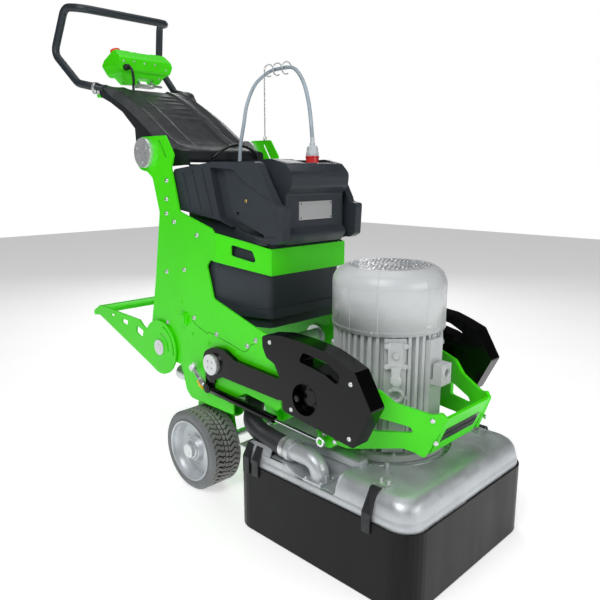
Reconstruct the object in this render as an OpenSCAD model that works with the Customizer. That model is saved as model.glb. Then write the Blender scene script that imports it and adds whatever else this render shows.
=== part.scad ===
// Walk-behind three-disc concrete grinder with swing-arm grinding head.
// Frame: +Z up, the head points to -Y, the handle to +Y, X across the machine.
// Origin: middle of the footprint, on the floor. Millimetres.

/* [Machine] */
// Overall length, from the front of the skirt to the back of the handlebar
machine_len = 1810; // [1790:1:1840]
// Half of the distance between the outer faces of the two side plates
plate_out = 238; // [236:0.5:238]
// Thickness of the side plates
plate_t = 6; // [4:0.5:6]
// Diameter of a wheel
wheel_d = 276; // [270:1:276]
// Width of a wheel
wheel_w = 125; // [110:1:125]

/* [Grinding head] */
// Width of the dust skirt
head_w = 610; // [600:1:612]
// Length of the dust skirt
head_len = 655; // [645:1:660]
// Height of the skirt's top edge above the floor
skirt_top = 217; // [214:1:218]
// Corner radius of the skirt
skirt_corner = 68; // [50:1:80]
// Outer diameter of the motor's finned housing
motor_d = 312; // [300:1:316]
// Number of cooling fins round the motor
fin_count = 44; // [36:2:52]
// Diameter of one grinding disc
disc_d = 210; // [180:2:214]
// Number of grinding discs
disc_count = 3; // [3:1:3]

/* [Weights] */
// Thickness of one swing weight
weight_t = 54; // [40:1:54]
// Radius of the round window over the weight's hub
window_r = 43; // [40:1:46]

/* [Handle] */
// Outer diameter of the handlebar tube
bar_d = 30; // [26:1:32]
// Half width of the handle cover at the pivot
cover_half = 200; // [190:1:203]

/* [Hidden] */
$fn = 48;
fit = 0.06;                       // radial clearance of every running fit
lime = [0.35, 0.96, 0.08];
half_len = machine_len / 2;
plate_in = plate_out - plate_t;
head_y = -half_len + 310;         // motor axis
float_y = head_y + 30;            // axis the head floats on, y
float_z = 487;                    // and z
arm_y = -96;                      // swing arm pivot, y
arm_z = 468;                      // and z
grip_y = 274;                     // handle pivot, y
grip_z = 1138;                    // and z
lever_y = 225;                    // foot lever pivot, y
lever_z = 458;                    // and z
axle_y = 20;                      // wheel axle, y
axle_z = wheel_d / 2;             // and z
wheel_out = 284;                  // outer face of a wheel
arm_in = 242;                     // inner face of a swing arm
arm_t = 16;                       // thickness of a swing arm
strut_x = 252;                    // centre plane of a lift cylinder
strut_rear = [-58, 375];          // rear eye of the lift cylinder, y z
strut_front = [float_y, 348];     // front eye of the lift rod, y z
weight_in = 266;                  // inner face of a weight
skirt_wall = 5;
skirt_low = 2;                    // gap under the skirt
pin_r = 22;                       // float pin
hub_r = 18;                       // weight's hub
lock_at = 33;                     // distance of the weight lock from the hub
panel_y = 640;                    // control box tilt axis, y
panel_z = 1412;                   // and z
hose_r = 30;
hose_x = 260;                     // hose and elbow run this far left of the middle
elbow_y = -568;                   // elbow's foot
pipe_x = 105;                     // dust pipe runs this far left of the middle
pipe_z = 316;                     // and this high

// ---- geometry helpers ----
function unit(v) = v / norm(v);

// Points of one rounded corner b between its neighbours a and c
function corner(a, b, c, r, n) =
  r == 0 ? [b] :
  let(u = unit(a - b), v = unit(c - b), half = acos(u * v) / 2,
      reach = r / tan(half), mid = b + unit(u + v) * r / sin(half),
      p = b + u * reach - mid, q = b + v * reach - mid,
      from = atan2(p.y, p.x), turn = ((atan2(q.y, q.x) - from + 540) % 360) - 180)
  [for (i = [0:n]) mid + r * [cos(from + turn * i / n), sin(from + turn * i / n)]];

// Closed outline from corners [a, b, radius]
function outline(pts, n = 4) =
  [for (i = [0:len(pts) - 1])
    let(k = len(pts), a = pts[(i + k - 1) % k], b = pts[i], c = pts[(i + 1) % k])
    each corner([a.x, a.y], [b.x, b.y], [c.x, c.y], b.z, n)];

// Smooth curve through hand-placed route points
function spline_at(a, b, c, d, t) =
  0.5 * (2 * b + (c - a) * t + (2 * a - 5 * b + 4 * c - d) * t * t
    + (3 * b - a - 3 * c + d) * t * t * t);
function smooth(p, n) = let(k = len(p) - 1)
  [for (i = [0:k - 1], j = [0:n - 1])
    spline_at(p[max(i - 1, 0)], p[i], p[i + 1], p[min(i + 2, k)], j / n), p[k]];

// The same, with a straight first and last length
function led(p, n) = let(k = len(p) - 1)
  concat([p[0]], smooth([for (i = [1:k - 1]) p[i]], n), [p[k]]);

// Bent tube route: straight runs joined by arcs, corners [x, y, z, radius]
function xyz(p) = [p[0], p[1], p[2]];
function bend(a, b, c, r, n) =
  let(u = unit(a - b), v = unit(c - b), half = acos(u * v) / 2, reach = r / tan(half),
      mid = b + unit(u + v) * r / sin(half), p = b + u * reach - mid, q = b + v * reach - mid,
      sweep = 180 - 2 * half)
  [for (i = [0:n]) mid + (sin(sweep * (1 - i / n)) * p + sin(sweep * i / n) * q) / sin(sweep)];
function bent(p, n = 5) = let(k = len(p) - 1)
  [xyz(p[0]), for (i = [1:k - 1]) each bend(xyz(p[i - 1]), xyz(p[i]), xyz(p[i + 1]), p[i][3], n),
    xyz(p[k])];

// Ring directions carried along a route without twist
function tangents(p) =
  [for (i = [0:len(p) - 1]) unit(p[min(i + 1, len(p) - 1)] - p[max(i - 1, 0)])];
function carried(t, i, n) =
  i == 0 ? [n] : let(done = carried(t, i - 1, n), last = done[i - 1])
  concat(done, [unit(last - (last * t[i]) * t[i])]);
module swept(path, r, sides = 12) {
  t = tangents(path);
  side = abs(t[0].x) > 0.9 ? [0, 0, 1] : [1, 0, 0];
  n = carried(t, len(path) - 1, unit(cross(t[0], side)));
  rings = [for (i = [0:len(path) - 1], k = [0:sides - 1])
    let(a = 360 * k / sides) path[i] + r * (cos(a) * n[i] + sin(a) * cross(t[i], n[i]))];
  last = (len(path) - 1) * sides;
  polyhedron(rings, concat(
    [[for (k = [0:sides - 1]) k]],
    [[for (k = [sides - 1:-1:0]) last + k]],
    [for (i = [0:len(path) - 2], k = [0:sides - 1])
      let(a = i * sides + k, b = i * sides + (k + 1) % sides) [a, a + sides, b + sides, b]]));
}

// A plate in the YZ plane, from x to x + t
module plate(x, t, pts) { translate([x, 0, 0]) rotate([90, 0, 90]) linear_extrude(t) polygon(pts); }
// A round bar along X from x0 to x1
module bar_x(x0, x1, y, z, r) { translate([x0, y, z]) rotate([0, 90, 0]) cylinder(h = x1 - x0, r = r); }
module block(low, high) { translate(low) cube(high - low); }
// Turns +Z towards the point "to" and starts at "from"
module aimed(from, to) {
  d = to - from;
  translate(from) rotate([0, acos(d.z / norm(d)), atan2(d.y, d.x)]) children();
}
module both() { children(); mirror([1, 0, 0]) children(); }
module left_side() { mirror([1, 0, 0]) children(); }
// A rounded rectangle standing on z, centred on the head
module head_slab(half_w, front, back, z, h, r) {
  translate([0, 0, z]) linear_extrude(h) polygon(outline(
    [[-half_w, front, r], [half_w, front, r], [half_w, back, r], [-half_w, back, r]], 8));
}

// ---- frame ----
plate_bolts = [[152, 1046], [157, 985], [161, 937], [118, 911], [-6, 875], [70, 755], [174, 737],
  [182, 556], [24, 598], [-95, 563], [-245, 554], [-284, 579]];
bolt_r = 5;

module side_plate() {
  color(lime) difference() {
    union() {
      plate(plate_in, plate_t, outline([[333, 1192, 45], [153, 1192, 8], [108, 1129, 14],
        [126, 1088, 6], [88, 947, 10], [-81, 901, 4], [-93, 888, 3], [-100, 888, 0],
        [-100, 797, 0], [-70, 802, 6], [-52, 781, 10], [-82, 678, 14], [-275, 620, 12],
        [-340, 602, 10], [-388, 488, 12], [-392, 394, 6], [-372, 378, 4], [-312, 391, 12],
        [-232, 398, 12], [-190, 376, 8], [-171, 346, 6], [-171, 310, 6], [60, 310, 20],
        [84, 332, 14], [101, 391, 12], [112, 417, 8], [204, 421, 20], [292, 440, 40],
        [283, 550, 30], [248, 698, 30], [204, 939, 30], [238, 1054, 20], [270, 1075, 12],
        [333, 1084, 40]]));
      // Lower rail, a rounded hollow section along the plate's foot
      translate([0, -165, 0]) rotate([-90, 0, 0]) linear_extrude(225) polygon(outline(
        [[186, -348, 6], [plate_out, -348, 3], [plate_out, -298, 22], [186, -298, 22]]));
    }
    translate([0, -166, 0]) rotate([-90, 0, 0]) linear_extrude(227) polygon(outline(
      [[192, -342, 4], [plate_in, -342, 3], [plate_in, -304, 16], [192, -304, 16]]));
    for (b = plate_bolts) bar_x(plate_in - 1, plate_out + 1, b.x, b.y, bolt_r);
    bar_x(plate_in - 1, plate_out + 1, arm_y, arm_z, 36);
    bar_x(plate_in - 1, plate_out + 1, 81, 585, 18);
    bar_x(plate_in - 1, plate_out + 1, -345, 440, 15);
    bar_x(plate_in - 1, plate_out + 1, lever_y, lever_z, 12);
    bar_x(plate_in - 1, plate_out + 1, grip_y, grip_z, 20);
    // Detent slot beside the handle pivot
    plate(plate_in - 1, plate_t + 2, outline([[196, 1176, 4], [186, 1178, 4], [148, 1120, 4],
      [157, 1116, 4]]));
  }
}
module side_plate_left() { left_side() side_plate(); }
module side_plate_right() { side_plate(); }

// Band around the tank: two bent-in cheeks and a front strap
band_bend = -100;                 // where the plates bend inwards
band_nose = -275;                 // front of the band
band_half = 165;                  // half width at the front
module band_cheek_shape(grow) {
  polygon([[plate_in - grow, band_bend], [plate_out + grow, band_bend],
    [band_half + 4 + grow, band_nose], [band_half - 2 - grow, band_nose]]);
}
module tank_band() {
  color(lime) {
    both() difference() {
      intersection() {
        translate([0, 0, 700]) linear_extrude(250) band_cheek_shape(0);
        plate(100, 200, [[band_bend, 888], [band_bend, 797], [band_nose, 765], [band_nose, 847]]);
      }
      plate(100, 200, outline([[-150, 855, 6], [-219, 838, 8], [-233, 800, 8], [-150, 820, 6]]));
    }
    difference() {
      block([-band_half - 4, band_nose - 6, 765], [band_half + 4, band_nose, 847]);
      translate([-30, band_nose - 7, 843]) cube([2, 8, 5]);
    }
  }
}

module chassis_deck() {
  color(lime) {
    block([-186, -150, 349], [186, 60, 354]);
    both() block([180, -150, 354], [plate_in, 60, 357]);
  }
}

module rear_cabinet() {
  color("dimgray") difference() {
    plate(-226, 452, outline([[124, 480, 6], [205, 480, 6], [238, 560, 10], [200, 900, 10],
      [124, 900, 6]]));
    plate(-222, 444, outline([[128, 484, 4], [200, 484, 4], [233, 562, 8], [196, 896, 8],
      [128, 896, 4]]));
    for (i = [0:5]) block([-90, 180, 700 + i * 22], [90, 240, 708 + i * 22]);
  }
}

module axle_brackets() {
  color(lime) both() difference() {
    union() {
      plate(141, 11, outline([[120, 349, 8], [140, 232, 20], [86, 130, 20], [40, 96, 24],
        [-8, 96, 24], [-41, 125, 10], [-72, 174, 10], [-56, 249, 20], [-70, 349, 8]]));
      bar_x(120, 156, axle_y, axle_z, 28);
      plate(152, 34, outline([[60, 349, 2], [60, 343, 2], [-60, 343, 2], [-60, 349, 2]]));
    }
    bar_x(119, 157, axle_y, axle_z, 14);
  }
}

module wheel_axle() {
  color("silver") {
    bar_x(-wheel_out - 4, wheel_out + 4, axle_y, axle_z, 14);
    both() bar_x(wheel_out - 14, wheel_out + 4, axle_y, axle_z, 24);
  }
}

// ---- tanks and electrics ----
tank_plan = [[-222, 60, 10], [-222, -75, 20], [-158, -264, 24], [158, -264, 24], [222, -75, 20],
  [222, 60, 10]];
function grown(pts, g) = [for (p = pts) [p.x + sign(p.x) * g, p.y + (p.y < 0 ? -g : g), p.z]];
module water_tank() {
  color([0.18, 0.2, 0.21]) difference() {
    union() {
      translate([0, 0, 655]) linear_extrude(201) polygon(outline(tank_plan));
      translate([0, 0, 628]) linear_extrude(28) polygon(outline(grown(tank_plan, 4)));
      translate([0, 0, 594]) linear_extrude(35) polygon(outline(grown(tank_plan, -10)));
    }
    translate([0, 0, 600]) linear_extrude(250) polygon(outline(grown(tank_plan, -15)));
    translate([0, -150, 840]) cylinder(h = 20, r = 40);
  }
}

hood_low = 857;
module hood_part(half, pts) { plate(-half, 2 * half, pts); }
wing_shape = outline([[109, 950, 4], [140, 1082, 16], [-53, 1106, 60], [-240, 1104, 20],
  [-262, 1062, 20], [-312, 980, 8], [-346, 974, 8], [-340, 876, 10], [-316, 864, 8],
  [-290, 864, 4], [-169, 896, 20], [-75, 925, 10]]);
wing_ribs = [[88, 1070, 58, 968], [43, 1079, 8, 955], [-2, 1086, -46, 938]];
module wing_plan(in, out) {
  translate([0, 0, 840]) linear_extrude(290) polygon([[224 - in, 150], [224 + out, 150],
    [178 + out, -345], [178 - in, -345]]);
}
module tank_cover() {
  color([0.22, 0.24, 0.26]) difference() {
    union() {
      // Middle hump with the roll over the nameplate
      hood_part(128, outline([[112, hood_low, 0], [118, 1070, 20], [-60, 1106, 60],
        [-240, 1114, 40], [-300, 1100, 20], [-330, 1070, 22], [-326, 1030, 16],
        [-302, 1008, 10], [-302, 906, 10], [-322, 886, 12], [-300, hood_low, 8]]));
      // Shelf that joins the hump to the wings
      hood_part(180, outline([[112, hood_low, 0], [116, 1050, 10], [-220, 1060, 20],
        [-286, 970, 20], [-286, 880, 10], [-270, hood_low, 4]]));
      // Wings, with three slanted ribs on the rear half
      both() {
        intersection() {
          plate(140, 100, wing_shape);
          wing_plan(30, 0);
        }
        intersection() {
          for (r = wing_ribs) plate(140, 100, [[r[0] + 3, r[1]], [r[0] - 3, r[1]],
            [r[2] - 3, r[3]], [r[2] + 3, r[3]]]);
          wing_plan(4, 2.5);
        }
      }
    }
    plate(-120, 240, outline([[104, hood_low - 1, 0], [108, 1044, 10], [-210, 1050, 20],
      [-276, 960, 20], [-276, hood_low - 1, 0]]));
    both() {
      // Hollow in each wing, deep at the rear and running out at the front
      intersection() {
        plate(140, 110, outline([[-40, 1089, 6], [-142, 1083, 16], [-172, 1056, 16],
          [-266, 1005, 10], [-318, 985, 4], [-318, 885, 4], [-262, 880, 4], [-168, 892, 16],
          [-80, 930, 14], [-62, 1000, 20]]));
        translate([0, 0, 840]) linear_extrude(290) polygon([[190, -30], [236, -30], [236, -330],
          [178.5, -330], [180, -296]]);
      }
      // Deep slot along its rear and lower edge
      intersection() {
        plate(140, 110, outline([[-40, 1089, 6], [-62, 1000, 20], [-80, 930, 14],
          [-168, 892, 16], [-262, 880, 4], [-262, 889, 3], [-139, 932, 12], [-120, 966, 14],
          [-88, 1082, 4]]));
        wing_plan(25, 10);
      }
      bar_x(150, 240, -148, 948, 6);
    }
    // Sunken tray round the mains inlet
    block([-40, -288, 1097], [112, -190, 1130]);
    // Seat of the mains inlet
    translate([60, -232, 1096]) cylinder(h = 40, r = 22);
  }
}

module nameplate() {
  color("silver") {
    block([-74, -305, 930], [74, -302, 986]);
    for (x = [-67, 67], z = [936, 980]) translate([x, -305, z]) rotate([90, 0, 0]) cylinder(h = 1.5, r = 2.5);
  }
}

module power_connector() {
  color("red") translate([60, -232, 1096]) cylinder(h = 28, r = 21);
  color("gainsboro") {
    translate([60, -232, 1124]) cylinder(h = 14, r = 20);
    translate([60, -232, 1138]) cylinder(h = 20, r = 17, $fn = 8);
  }
}

// Mains lead: out of the plug, through the boom's loops, down into the hood
lead_route = [[60, -232, 1158.1], [60, -232, 1170], [64, -222, 1230], [80, -194, 1300],
  [110, -142, 1366], [156, -62, 1416], [204, 20, 1438], [213, 84, 1440], [210, 136, 1432],
  [172, 164, 1390], [110, 140, 1316], [56, 98, 1240], [24, 79, 1170], [14, 74, 1110],
  [14, 74, 1081]];
module power_lead() { color("lightsteelblue") swept(led(lead_route, 4), 6.5, 8); }

boom_route = [[235, 184, 1192, 0], [235, 184, 1440, 26], [235, 24, 1440, 0]];
loop_at = [132, 86, 40];
module cable_boom() {
  color("silver") {
    translate([235, 184, 1192]) cylinder(h = 14, r = 6);
    swept(bent([[235, 184, 1200, 0], boom_route[1], boom_route[2]]), 2.5, 8);
    for (y = loop_at) swept([for (a = [0:30:270])
      [235 - 22 * (1 - cos(a)), y - a / 30, 1437.5 + 22 * sin(a) - 22 * (1 - cos(a)) * 0.1]], 2, 6);
  }
}

module frame_bolts() {
  color("silver") both() for (b = plate_bolts) {
    bar_x(plate_in - 1, plate_out, b.x, b.y, bolt_r);
    bar_x(plate_out, plate_out + 5, b.x, b.y, 8);
  }
}

// ---- pivots ----
shaft_r = 30;
module arm_bushes() {
  color("silver") both() difference() {
    union() {
      bar_x(plate_in - 10, plate_out + 3, arm_y, arm_z, 36);
      bar_x(plate_in - 10, plate_in, arm_y, arm_z, 46);
    }
    bar_x(plate_in - 11, plate_out + 4, arm_y, arm_z, shaft_r + fit);
  }
}
module cross_tubes() {
  color(lime) {
    bar_x(-plate_out - 14, plate_out + 14, 81, 585, 18);
    both() bar_x(plate_out, plate_out + 8, 81, 585, 24);
    bar_x(-plate_out, plate_out, -345, 440, 15);
  }
  color("silver") {
    bar_x(-plate_out - 18, plate_out + 18, lever_y, lever_z, 12);
    both() bar_x(plate_out + 11.5, plate_out + 16, lever_y, lever_z, 28);
  }
}
module handle_pivots() {
  color("silver") both() {
    difference() {
      bar_x(plate_out, plate_out + 15, grip_y, grip_z, 50);
      for (a = [30, 150, 270])
        bar_x(plate_out + 10, plate_out + 16, grip_y + 32 * cos(a), grip_z + 32 * sin(a), 5);
    }
    bar_x(150, plate_out, grip_y, grip_z, 20);
    difference() {
      bar_x(plate_in - 18, plate_in, grip_y, grip_z, 54);
      bar_x(plate_in - 19, plate_in + 1, grip_y, grip_z, 20);
    }
  }
}
module friction_discs() {
  color("white") both() difference() {
    bar_x(plate_out, plate_out + 4.7, lever_y, lever_z, 58);
    bar_x(plate_out - 1, plate_out + 5, lever_y, lever_z, 12);
  }
}

// Dust pipe from the hose to the rear, where an extractor's hose slips on
pipe_front = -92;
pipe_back = 300;
module dust_outlet() {
  color("silver") difference() {
    union() {
      translate([-pipe_x, pipe_front, pipe_z]) rotate([-90, 0, 0]) cylinder(h = pipe_back - pipe_front, r = 29);
      // Spigot, and a collar ahead of it
      translate([-pipe_x, pipe_back - 60, pipe_z]) rotate([-90, 0, 0]) cylinder(h = 60, r = 30);
      translate([-pipe_x, pipe_back - 90, pipe_z]) rotate([-90, 0, 0]) cylinder(h = 6, r = 36);
    }
    translate([-pipe_x, pipe_front - 1, pipe_z]) rotate([-90, 0, 0]) cylinder(h = pipe_back - pipe_front + 2, r = 27);
  }
  color(lime) for (y = [-60, 40]) block([-pipe_x - 8, y - 4, pipe_z + 28.4], [-pipe_x + 8, y + 4, 349]);
}

// ---- wheels ----
tyre_in_r = 105;
module tyre() {
  r = wheel_d / 2;
  w = wheel_w / 2;
  color("gray") translate([wheel_out - w, axle_y, axle_z]) rotate([0, 90, 0]) rotate_extrude($fn = 96)
    polygon([[tyre_in_r, -w], [r - 10, -w], [r, -w + 10], [r, w - 10], [r - 10, w], [tyre_in_r, w]]);
}
module rim() {
  w = wheel_w / 2;
  color("silver") translate([wheel_out - w, axle_y, axle_z]) rotate([0, 90, 0]) rotate_extrude($fn = 96)
    polygon([[14 + fit, -w], [34, -w], [34, w - 52], [94, w - 44], [94, -w], [tyre_in_r, -w],
      [tyre_in_r, w], [99, w], [96, w - 36], [36, w - 38], [36, w - 16], [14 + fit, w - 16]]);
}
module tyre_left() { left_side() tyre(); }
module tyre_right() { tyre(); }
module rim_left() { left_side() rim(); }
module rim_right() { rim(); }

// ---- handle ----
tube_r = 30;
clamp_x = 198;
bar_r = bar_d / 2;
bar_half_route = [[0, 748, 1687, 0], [196, 748, 1687, 50], [216, 838, 1701, 34],
  [242, half_len - bar_r + 8.2, 1535, 45], [224, 752, 1410, 60], [clamp_x, 600, 1378, 0]];
module handle_frame() {
  color(lime) {
    difference() {
      bar_x(-211, 211, grip_y, grip_z, tube_r);
      bar_x(-212, 212, grip_y, grip_z, 20 + fit);
    }
    both() difference() {
      plate(146, 8, outline([[279, 1176, 4], [232, 1143, 20], [279, 1106, 20], [330, 1130, 20],
        [430, 1232, 30], [520, 1302, 30], [636, 1352, 8], [640, 1372, 8], [560, 1358, 20],
        [470, 1316, 30], [380, 1250, 30], [310, 1190, 10]]));
      bar_x(140, 160, grip_y, grip_z, tube_r);
    }
    bar_x(-clamp_x - 18, clamp_x + 18, 618, 1356, 9);
  }
}
cover_top = [[642, 1400, 4], [560, 1374, 60], [470, 1332, 60], [370, 1274, 60], [270, 1208, 60],
  [190, 1166, 30], [122, 1150, 6]];
cover_low = [[122, 1098, 6], [222, 1090, 30], [330, 1094, 20], [414, 1192, 8], [398, 1224, 8],
  [480, 1288, 30], [600, 1348, 8], [642, 1376, 4]];
cover_core = [[636, 1391, 0], [560, 1367, 60], [470, 1325, 60], [370, 1267, 60], [272, 1201, 60],
  [200, 1159, 10], [128, 1143, 0], [128, 1080, 0], [330, 1060, 0], [636, 1330, 0]];
module cover_plan(inset) {
  translate([0, 0, 1000]) linear_extrude(500) polygon([for (s = [1, -1], p = s > 0 ?
    [[160, 100], [cover_half, 200], [cover_half, 330], [170, 596], [170, 650]] :
    [[170, 650], [170, 596], [cover_half, 330], [cover_half, 200], [160, 100]])
    [s * (p.x - inset), p.y + (p.y > 400 ? inset : -inset / 2)]]);
}
module handle_cover() {
  color([0.13, 0.13, 0.13]) difference() {
    intersection() {
      plate(-220, 440, outline(concat(cover_top, cover_low)));
      cover_plan(0);
    }
    intersection() {
      plate(-220, 440, outline(cover_core));
      cover_plan(6);
    }
    bar_x(-220, 220, grip_y, grip_z, tube_r);
    bar_x(-220, 220, 618, 1356, 9);
  }
}
module handlebar() {
  half = bent(bar_half_route);
  other = [for (i = [len(half) - 1:-1:1]) [-half[i].x, half[i].y, half[i].z]];
  color([0.2, 0.22, 0.24]) swept(concat(other, [for (i = [1:len(half) - 1]) half[i]]), bar_r, 16);
}
module handlebar_clamps() {
  color("silver") both() difference() {
    aimed(xyz(bar_half_route[5]), xyz(bar_half_route[4])) for (h = [6, 34])
      translate([0, 0, h]) cube([2 * bar_r + 12, 2 * bar_r + 12, 14], center = true);
    aimed(xyz(bar_half_route[5]), xyz(bar_half_route[4])) translate([0, 0, -20])
      cylinder(h = 90, r = bar_r + 0.05);
    bar_x(-clamp_x - 18, clamp_x + 18, 618, 1356, 9);
  }
}
module panel_bracket() {
  color("silver") difference() {
    union() {
      block([-33, 618, 1400.5], [33, 656, 1403.5]);
      both() plate(28, 5, outline([[620, 1400.5, 1], [622, 1420, 6], [640, 1430, 8],
        [658, 1420, 6], [656, 1400.5, 1]]));
    }
    bar_x(-60, 60, panel_y, panel_z, 5);
  }
  color("silver") bar_x(-80, 80, panel_y, panel_z, 5);
}
panel_cable = [[-90, 603.8, 1470], [-90, 596, 1470], [-89, 582, 1458], [-87, 578, 1440],
  [-84, 580, 1415], [-84, 584, 1398], [-84, 584, 1384]];
loop_cable = [[-70, 121.8, 1122], [-70, 115, 1122], [-50, 104, 1142], [-10, 102, 1160],
  [30, 102, 1166], [70, 102, 1160], [110, 104, 1142], [130, 115, 1122], [130, 121.8, 1122]];
module control_cables() {
  color([0.1, 0.1, 0.1]) {
    swept(led(panel_cable, 3), 5, 8);
    swept(led(loop_cable, 3), 5, 8);
  }
}

// ---- control box ----
face_tilt = atan2(36, 84);        // the operator's face leans back this much
face_mid = [0, 706, 1522];
module on_face(x, along, lift = 0) {
  translate(face_mid) rotate([-face_tilt, 0, 0]) translate([x, along, lift]) children();
}
stop_x = -78;
knob_x = 0;
start_x = 78;
// Two lobes seen from the front, with a gap below for the bracket
box_front = [[-119, 1482, 8], [-113, 1500, 6], [-112, 1537, 8], [-60, 1546, 6], [-46, 1536, 4],
  [46, 1536, 4], [60, 1546, 6], [112, 1537, 8], [126, 1490, 10], [112, 1462, 10],
  [84, 1446, 8], [62, 1420, 6], [40, 1414, 4], [36, 1436, 6], [-36, 1436, 6], [-40, 1410, 4],
  [-92, 1407, 5], [-112, 1450, 10]];
module box_outline(grow) {
  translate([0, 800, 0]) rotate([90, 0, 0]) linear_extrude(250) offset(delta = grow)
    polygon(outline(box_front));
}
box_leg = [[627, 1450, 0], [631, 1406, 4], [662, 1406, 8], [700, 1450, 0]];
module control_box() {
  color(lime) difference() {
    union() {
      intersection() {
        union() {
          plate(-130, 260, outline([[640, 1432, 14], [622, 1462, 20], [626, 1508, 14],
            [664, 1540, 6], [748, 1504, 6], [754, 1487, 12], [722, 1438, 12]]));
          plate(-130, 260, outline(box_leg));
        }
        box_outline(0);
      }
      translate([-90, 630, 1470]) rotate([90, 0, 0]) cylinder(h = 26, r = 11, $fn = 6);
    }
    intersection() {
      plate(-123, 246, outline([[642, 1437, 10], [628, 1463, 16], [631, 1505, 10],
        [664, 1533, 4], [742, 1499.5, 4], [748, 1487, 10], [720, 1443, 10]]));
      box_outline(-5);
    }
    bar_x(-130, 130, panel_y, panel_z, 5 + fit);
    translate([-90, 640, 1470]) rotate([90, 0, 0]) cylinder(h = 40, r = 5);
    for (x = [stop_x, knob_x, start_x]) on_face(x, 0, -20) cylinder(h = 40, r = 9);
  }
}
module panel_face() {
  color([0.12, 0.12, 0.13]) difference() {
    on_face(-108, -30, 0.1) cube([216, 66, 2]);
    for (x = [stop_x, knob_x, start_x]) on_face(x, 0, -1) cylinder(h = 4, r = 9);
  }
}
module emergency_stop() {
  color("red") on_face(stop_x, 0) {
    translate([0, 0, -8]) cylinder(h = 20, r = 8.6);
    translate([0, 0, 12]) cylinder(h = 12, r = 20);
  }
}
module speed_knob() {
  color([0.1, 0.1, 0.1]) on_face(knob_x, 0) {
    translate([0, 0, -6]) cylinder(h = 9, r = 8.6);
    translate([0, 0, 3]) cylinder(h = 16, r = 15, $fn = 12);
  }
}
module start_button() {
  color("green") on_face(start_x, 0) translate([0, 0, -8]) cylinder(h = 16, r = 8.6);
}

// ---- swing arm ----
module swing_arms() {
  color([0.09, 0.09, 0.1]) both() difference() {
    union() {
      plate(arm_in, arm_t, outline([[-96, 524, 40], [-150, 526, 50], [-205, 502, 40],
        [-398, 490, 60], [-520, 534, 40], [-612, 530, 40], [-612, 440, 40], [-520, 438, 40],
        [-394, 426, 60], [-141, 434, 20], [-96, 412, 4], [-44, 434, 40], [-44, 500, 40]]));
      plate(arm_in, 4.7, outline([[-104, 460, 2], [-77, 372, 8], [-76, 357, 14], [-40, 357, 14],
        [-38, 380, 8], [-40, 450, 4]]));
      bar_x(222, arm_in + 1, float_y, float_z, pin_r);
      bar_x(arm_in + arm_t - 1, weight_in + 33, float_y, float_z, hub_r);
      bar_x(weight_in + 27.4, weight_in + 33, float_y, float_z, 22);
      bar_x(arm_in + 4, arm_in + 18, strut_rear.x, strut_rear.y, 8);
    }
    bar_x(arm_in - 20, arm_in + 40, arm_y, arm_z, shaft_r);
  }
}
module arm_pivot_shaft() {
  color("silver") {
    difference() {
      bar_x(-arm_in - arm_t - 10, arm_in + arm_t + 10, arm_y, arm_z, shaft_r);
      bar_x(-220, 220, arm_y, arm_z, 22);
    }
    both() difference() {
      bar_x(arm_in + arm_t, arm_in + arm_t + 14, arm_y, arm_z, 34);
      for (a = [45:90:315])
        bar_x(arm_in + arm_t + 10, arm_in + arm_t + 15, arm_y + 14 * cos(a), arm_z + 14 * sin(a), 3.5);
    }
  }
}
hose_z = 292;                     // height of the elbow's outlet
hose_route = [[-hose_x, -451.8, hose_z], [-hose_x, -440, hose_z], [-256, -395, 292],
  [-248, -345, 292], [-239, -292, 296], [-222, -248, 304], [-190, -210, 311],
  [-156, -178, 315], [-122, -146, pipe_z], [-pipe_x, -108, pipe_z], [-pipe_x, -92.2, pipe_z]];
module suction_hose() { color([0.12, 0.12, 0.13]) swept(led(hose_route, 3), hose_r, 12); }

// Lift cylinders beside the arms; local -Y runs from the rear eye to the front eye
strut_len = norm(strut_front - strut_rear);
strut_tilt = atan2(strut_rear.y - strut_front.y, strut_rear.x - strut_front.x);
module strut_frame() { translate([strut_x, strut_rear.x, strut_rear.y]) rotate([strut_tilt, 0, 0]) children(); }
module along_strut(from, to, r) { translate([0, -from, 0]) rotate([90, 0, 0]) cylinder(h = to - from, r = r); }
module lift_cylinders() {
  color([0.09, 0.09, 0.1]) both() strut_frame() difference() {
    union() {
      bar_x(-4.8, 7, 0, 0, 15);
      along_strut(12, 30, 4.6);
      along_strut(26, 320, 12);
    }
    bar_x(-5, 8, 0, 0, 8 + fit);
    along_strut(40, 316, 9);
    along_strut(300, 321, 5 + fit);
  }
}
module lift_rods() {
  color("silver") both() strut_frame() {
    along_strut(150, strut_len - 13, 5);
    along_strut(130, 150, 9 - fit);
    difference() {
      translate([0, -strut_len, 0]) bar_x(-6, 6, 0, 0, 14);
      translate([0, -strut_len, 0]) bar_x(-7, 7, 0, 0, 8);
    }
  }
}
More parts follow.
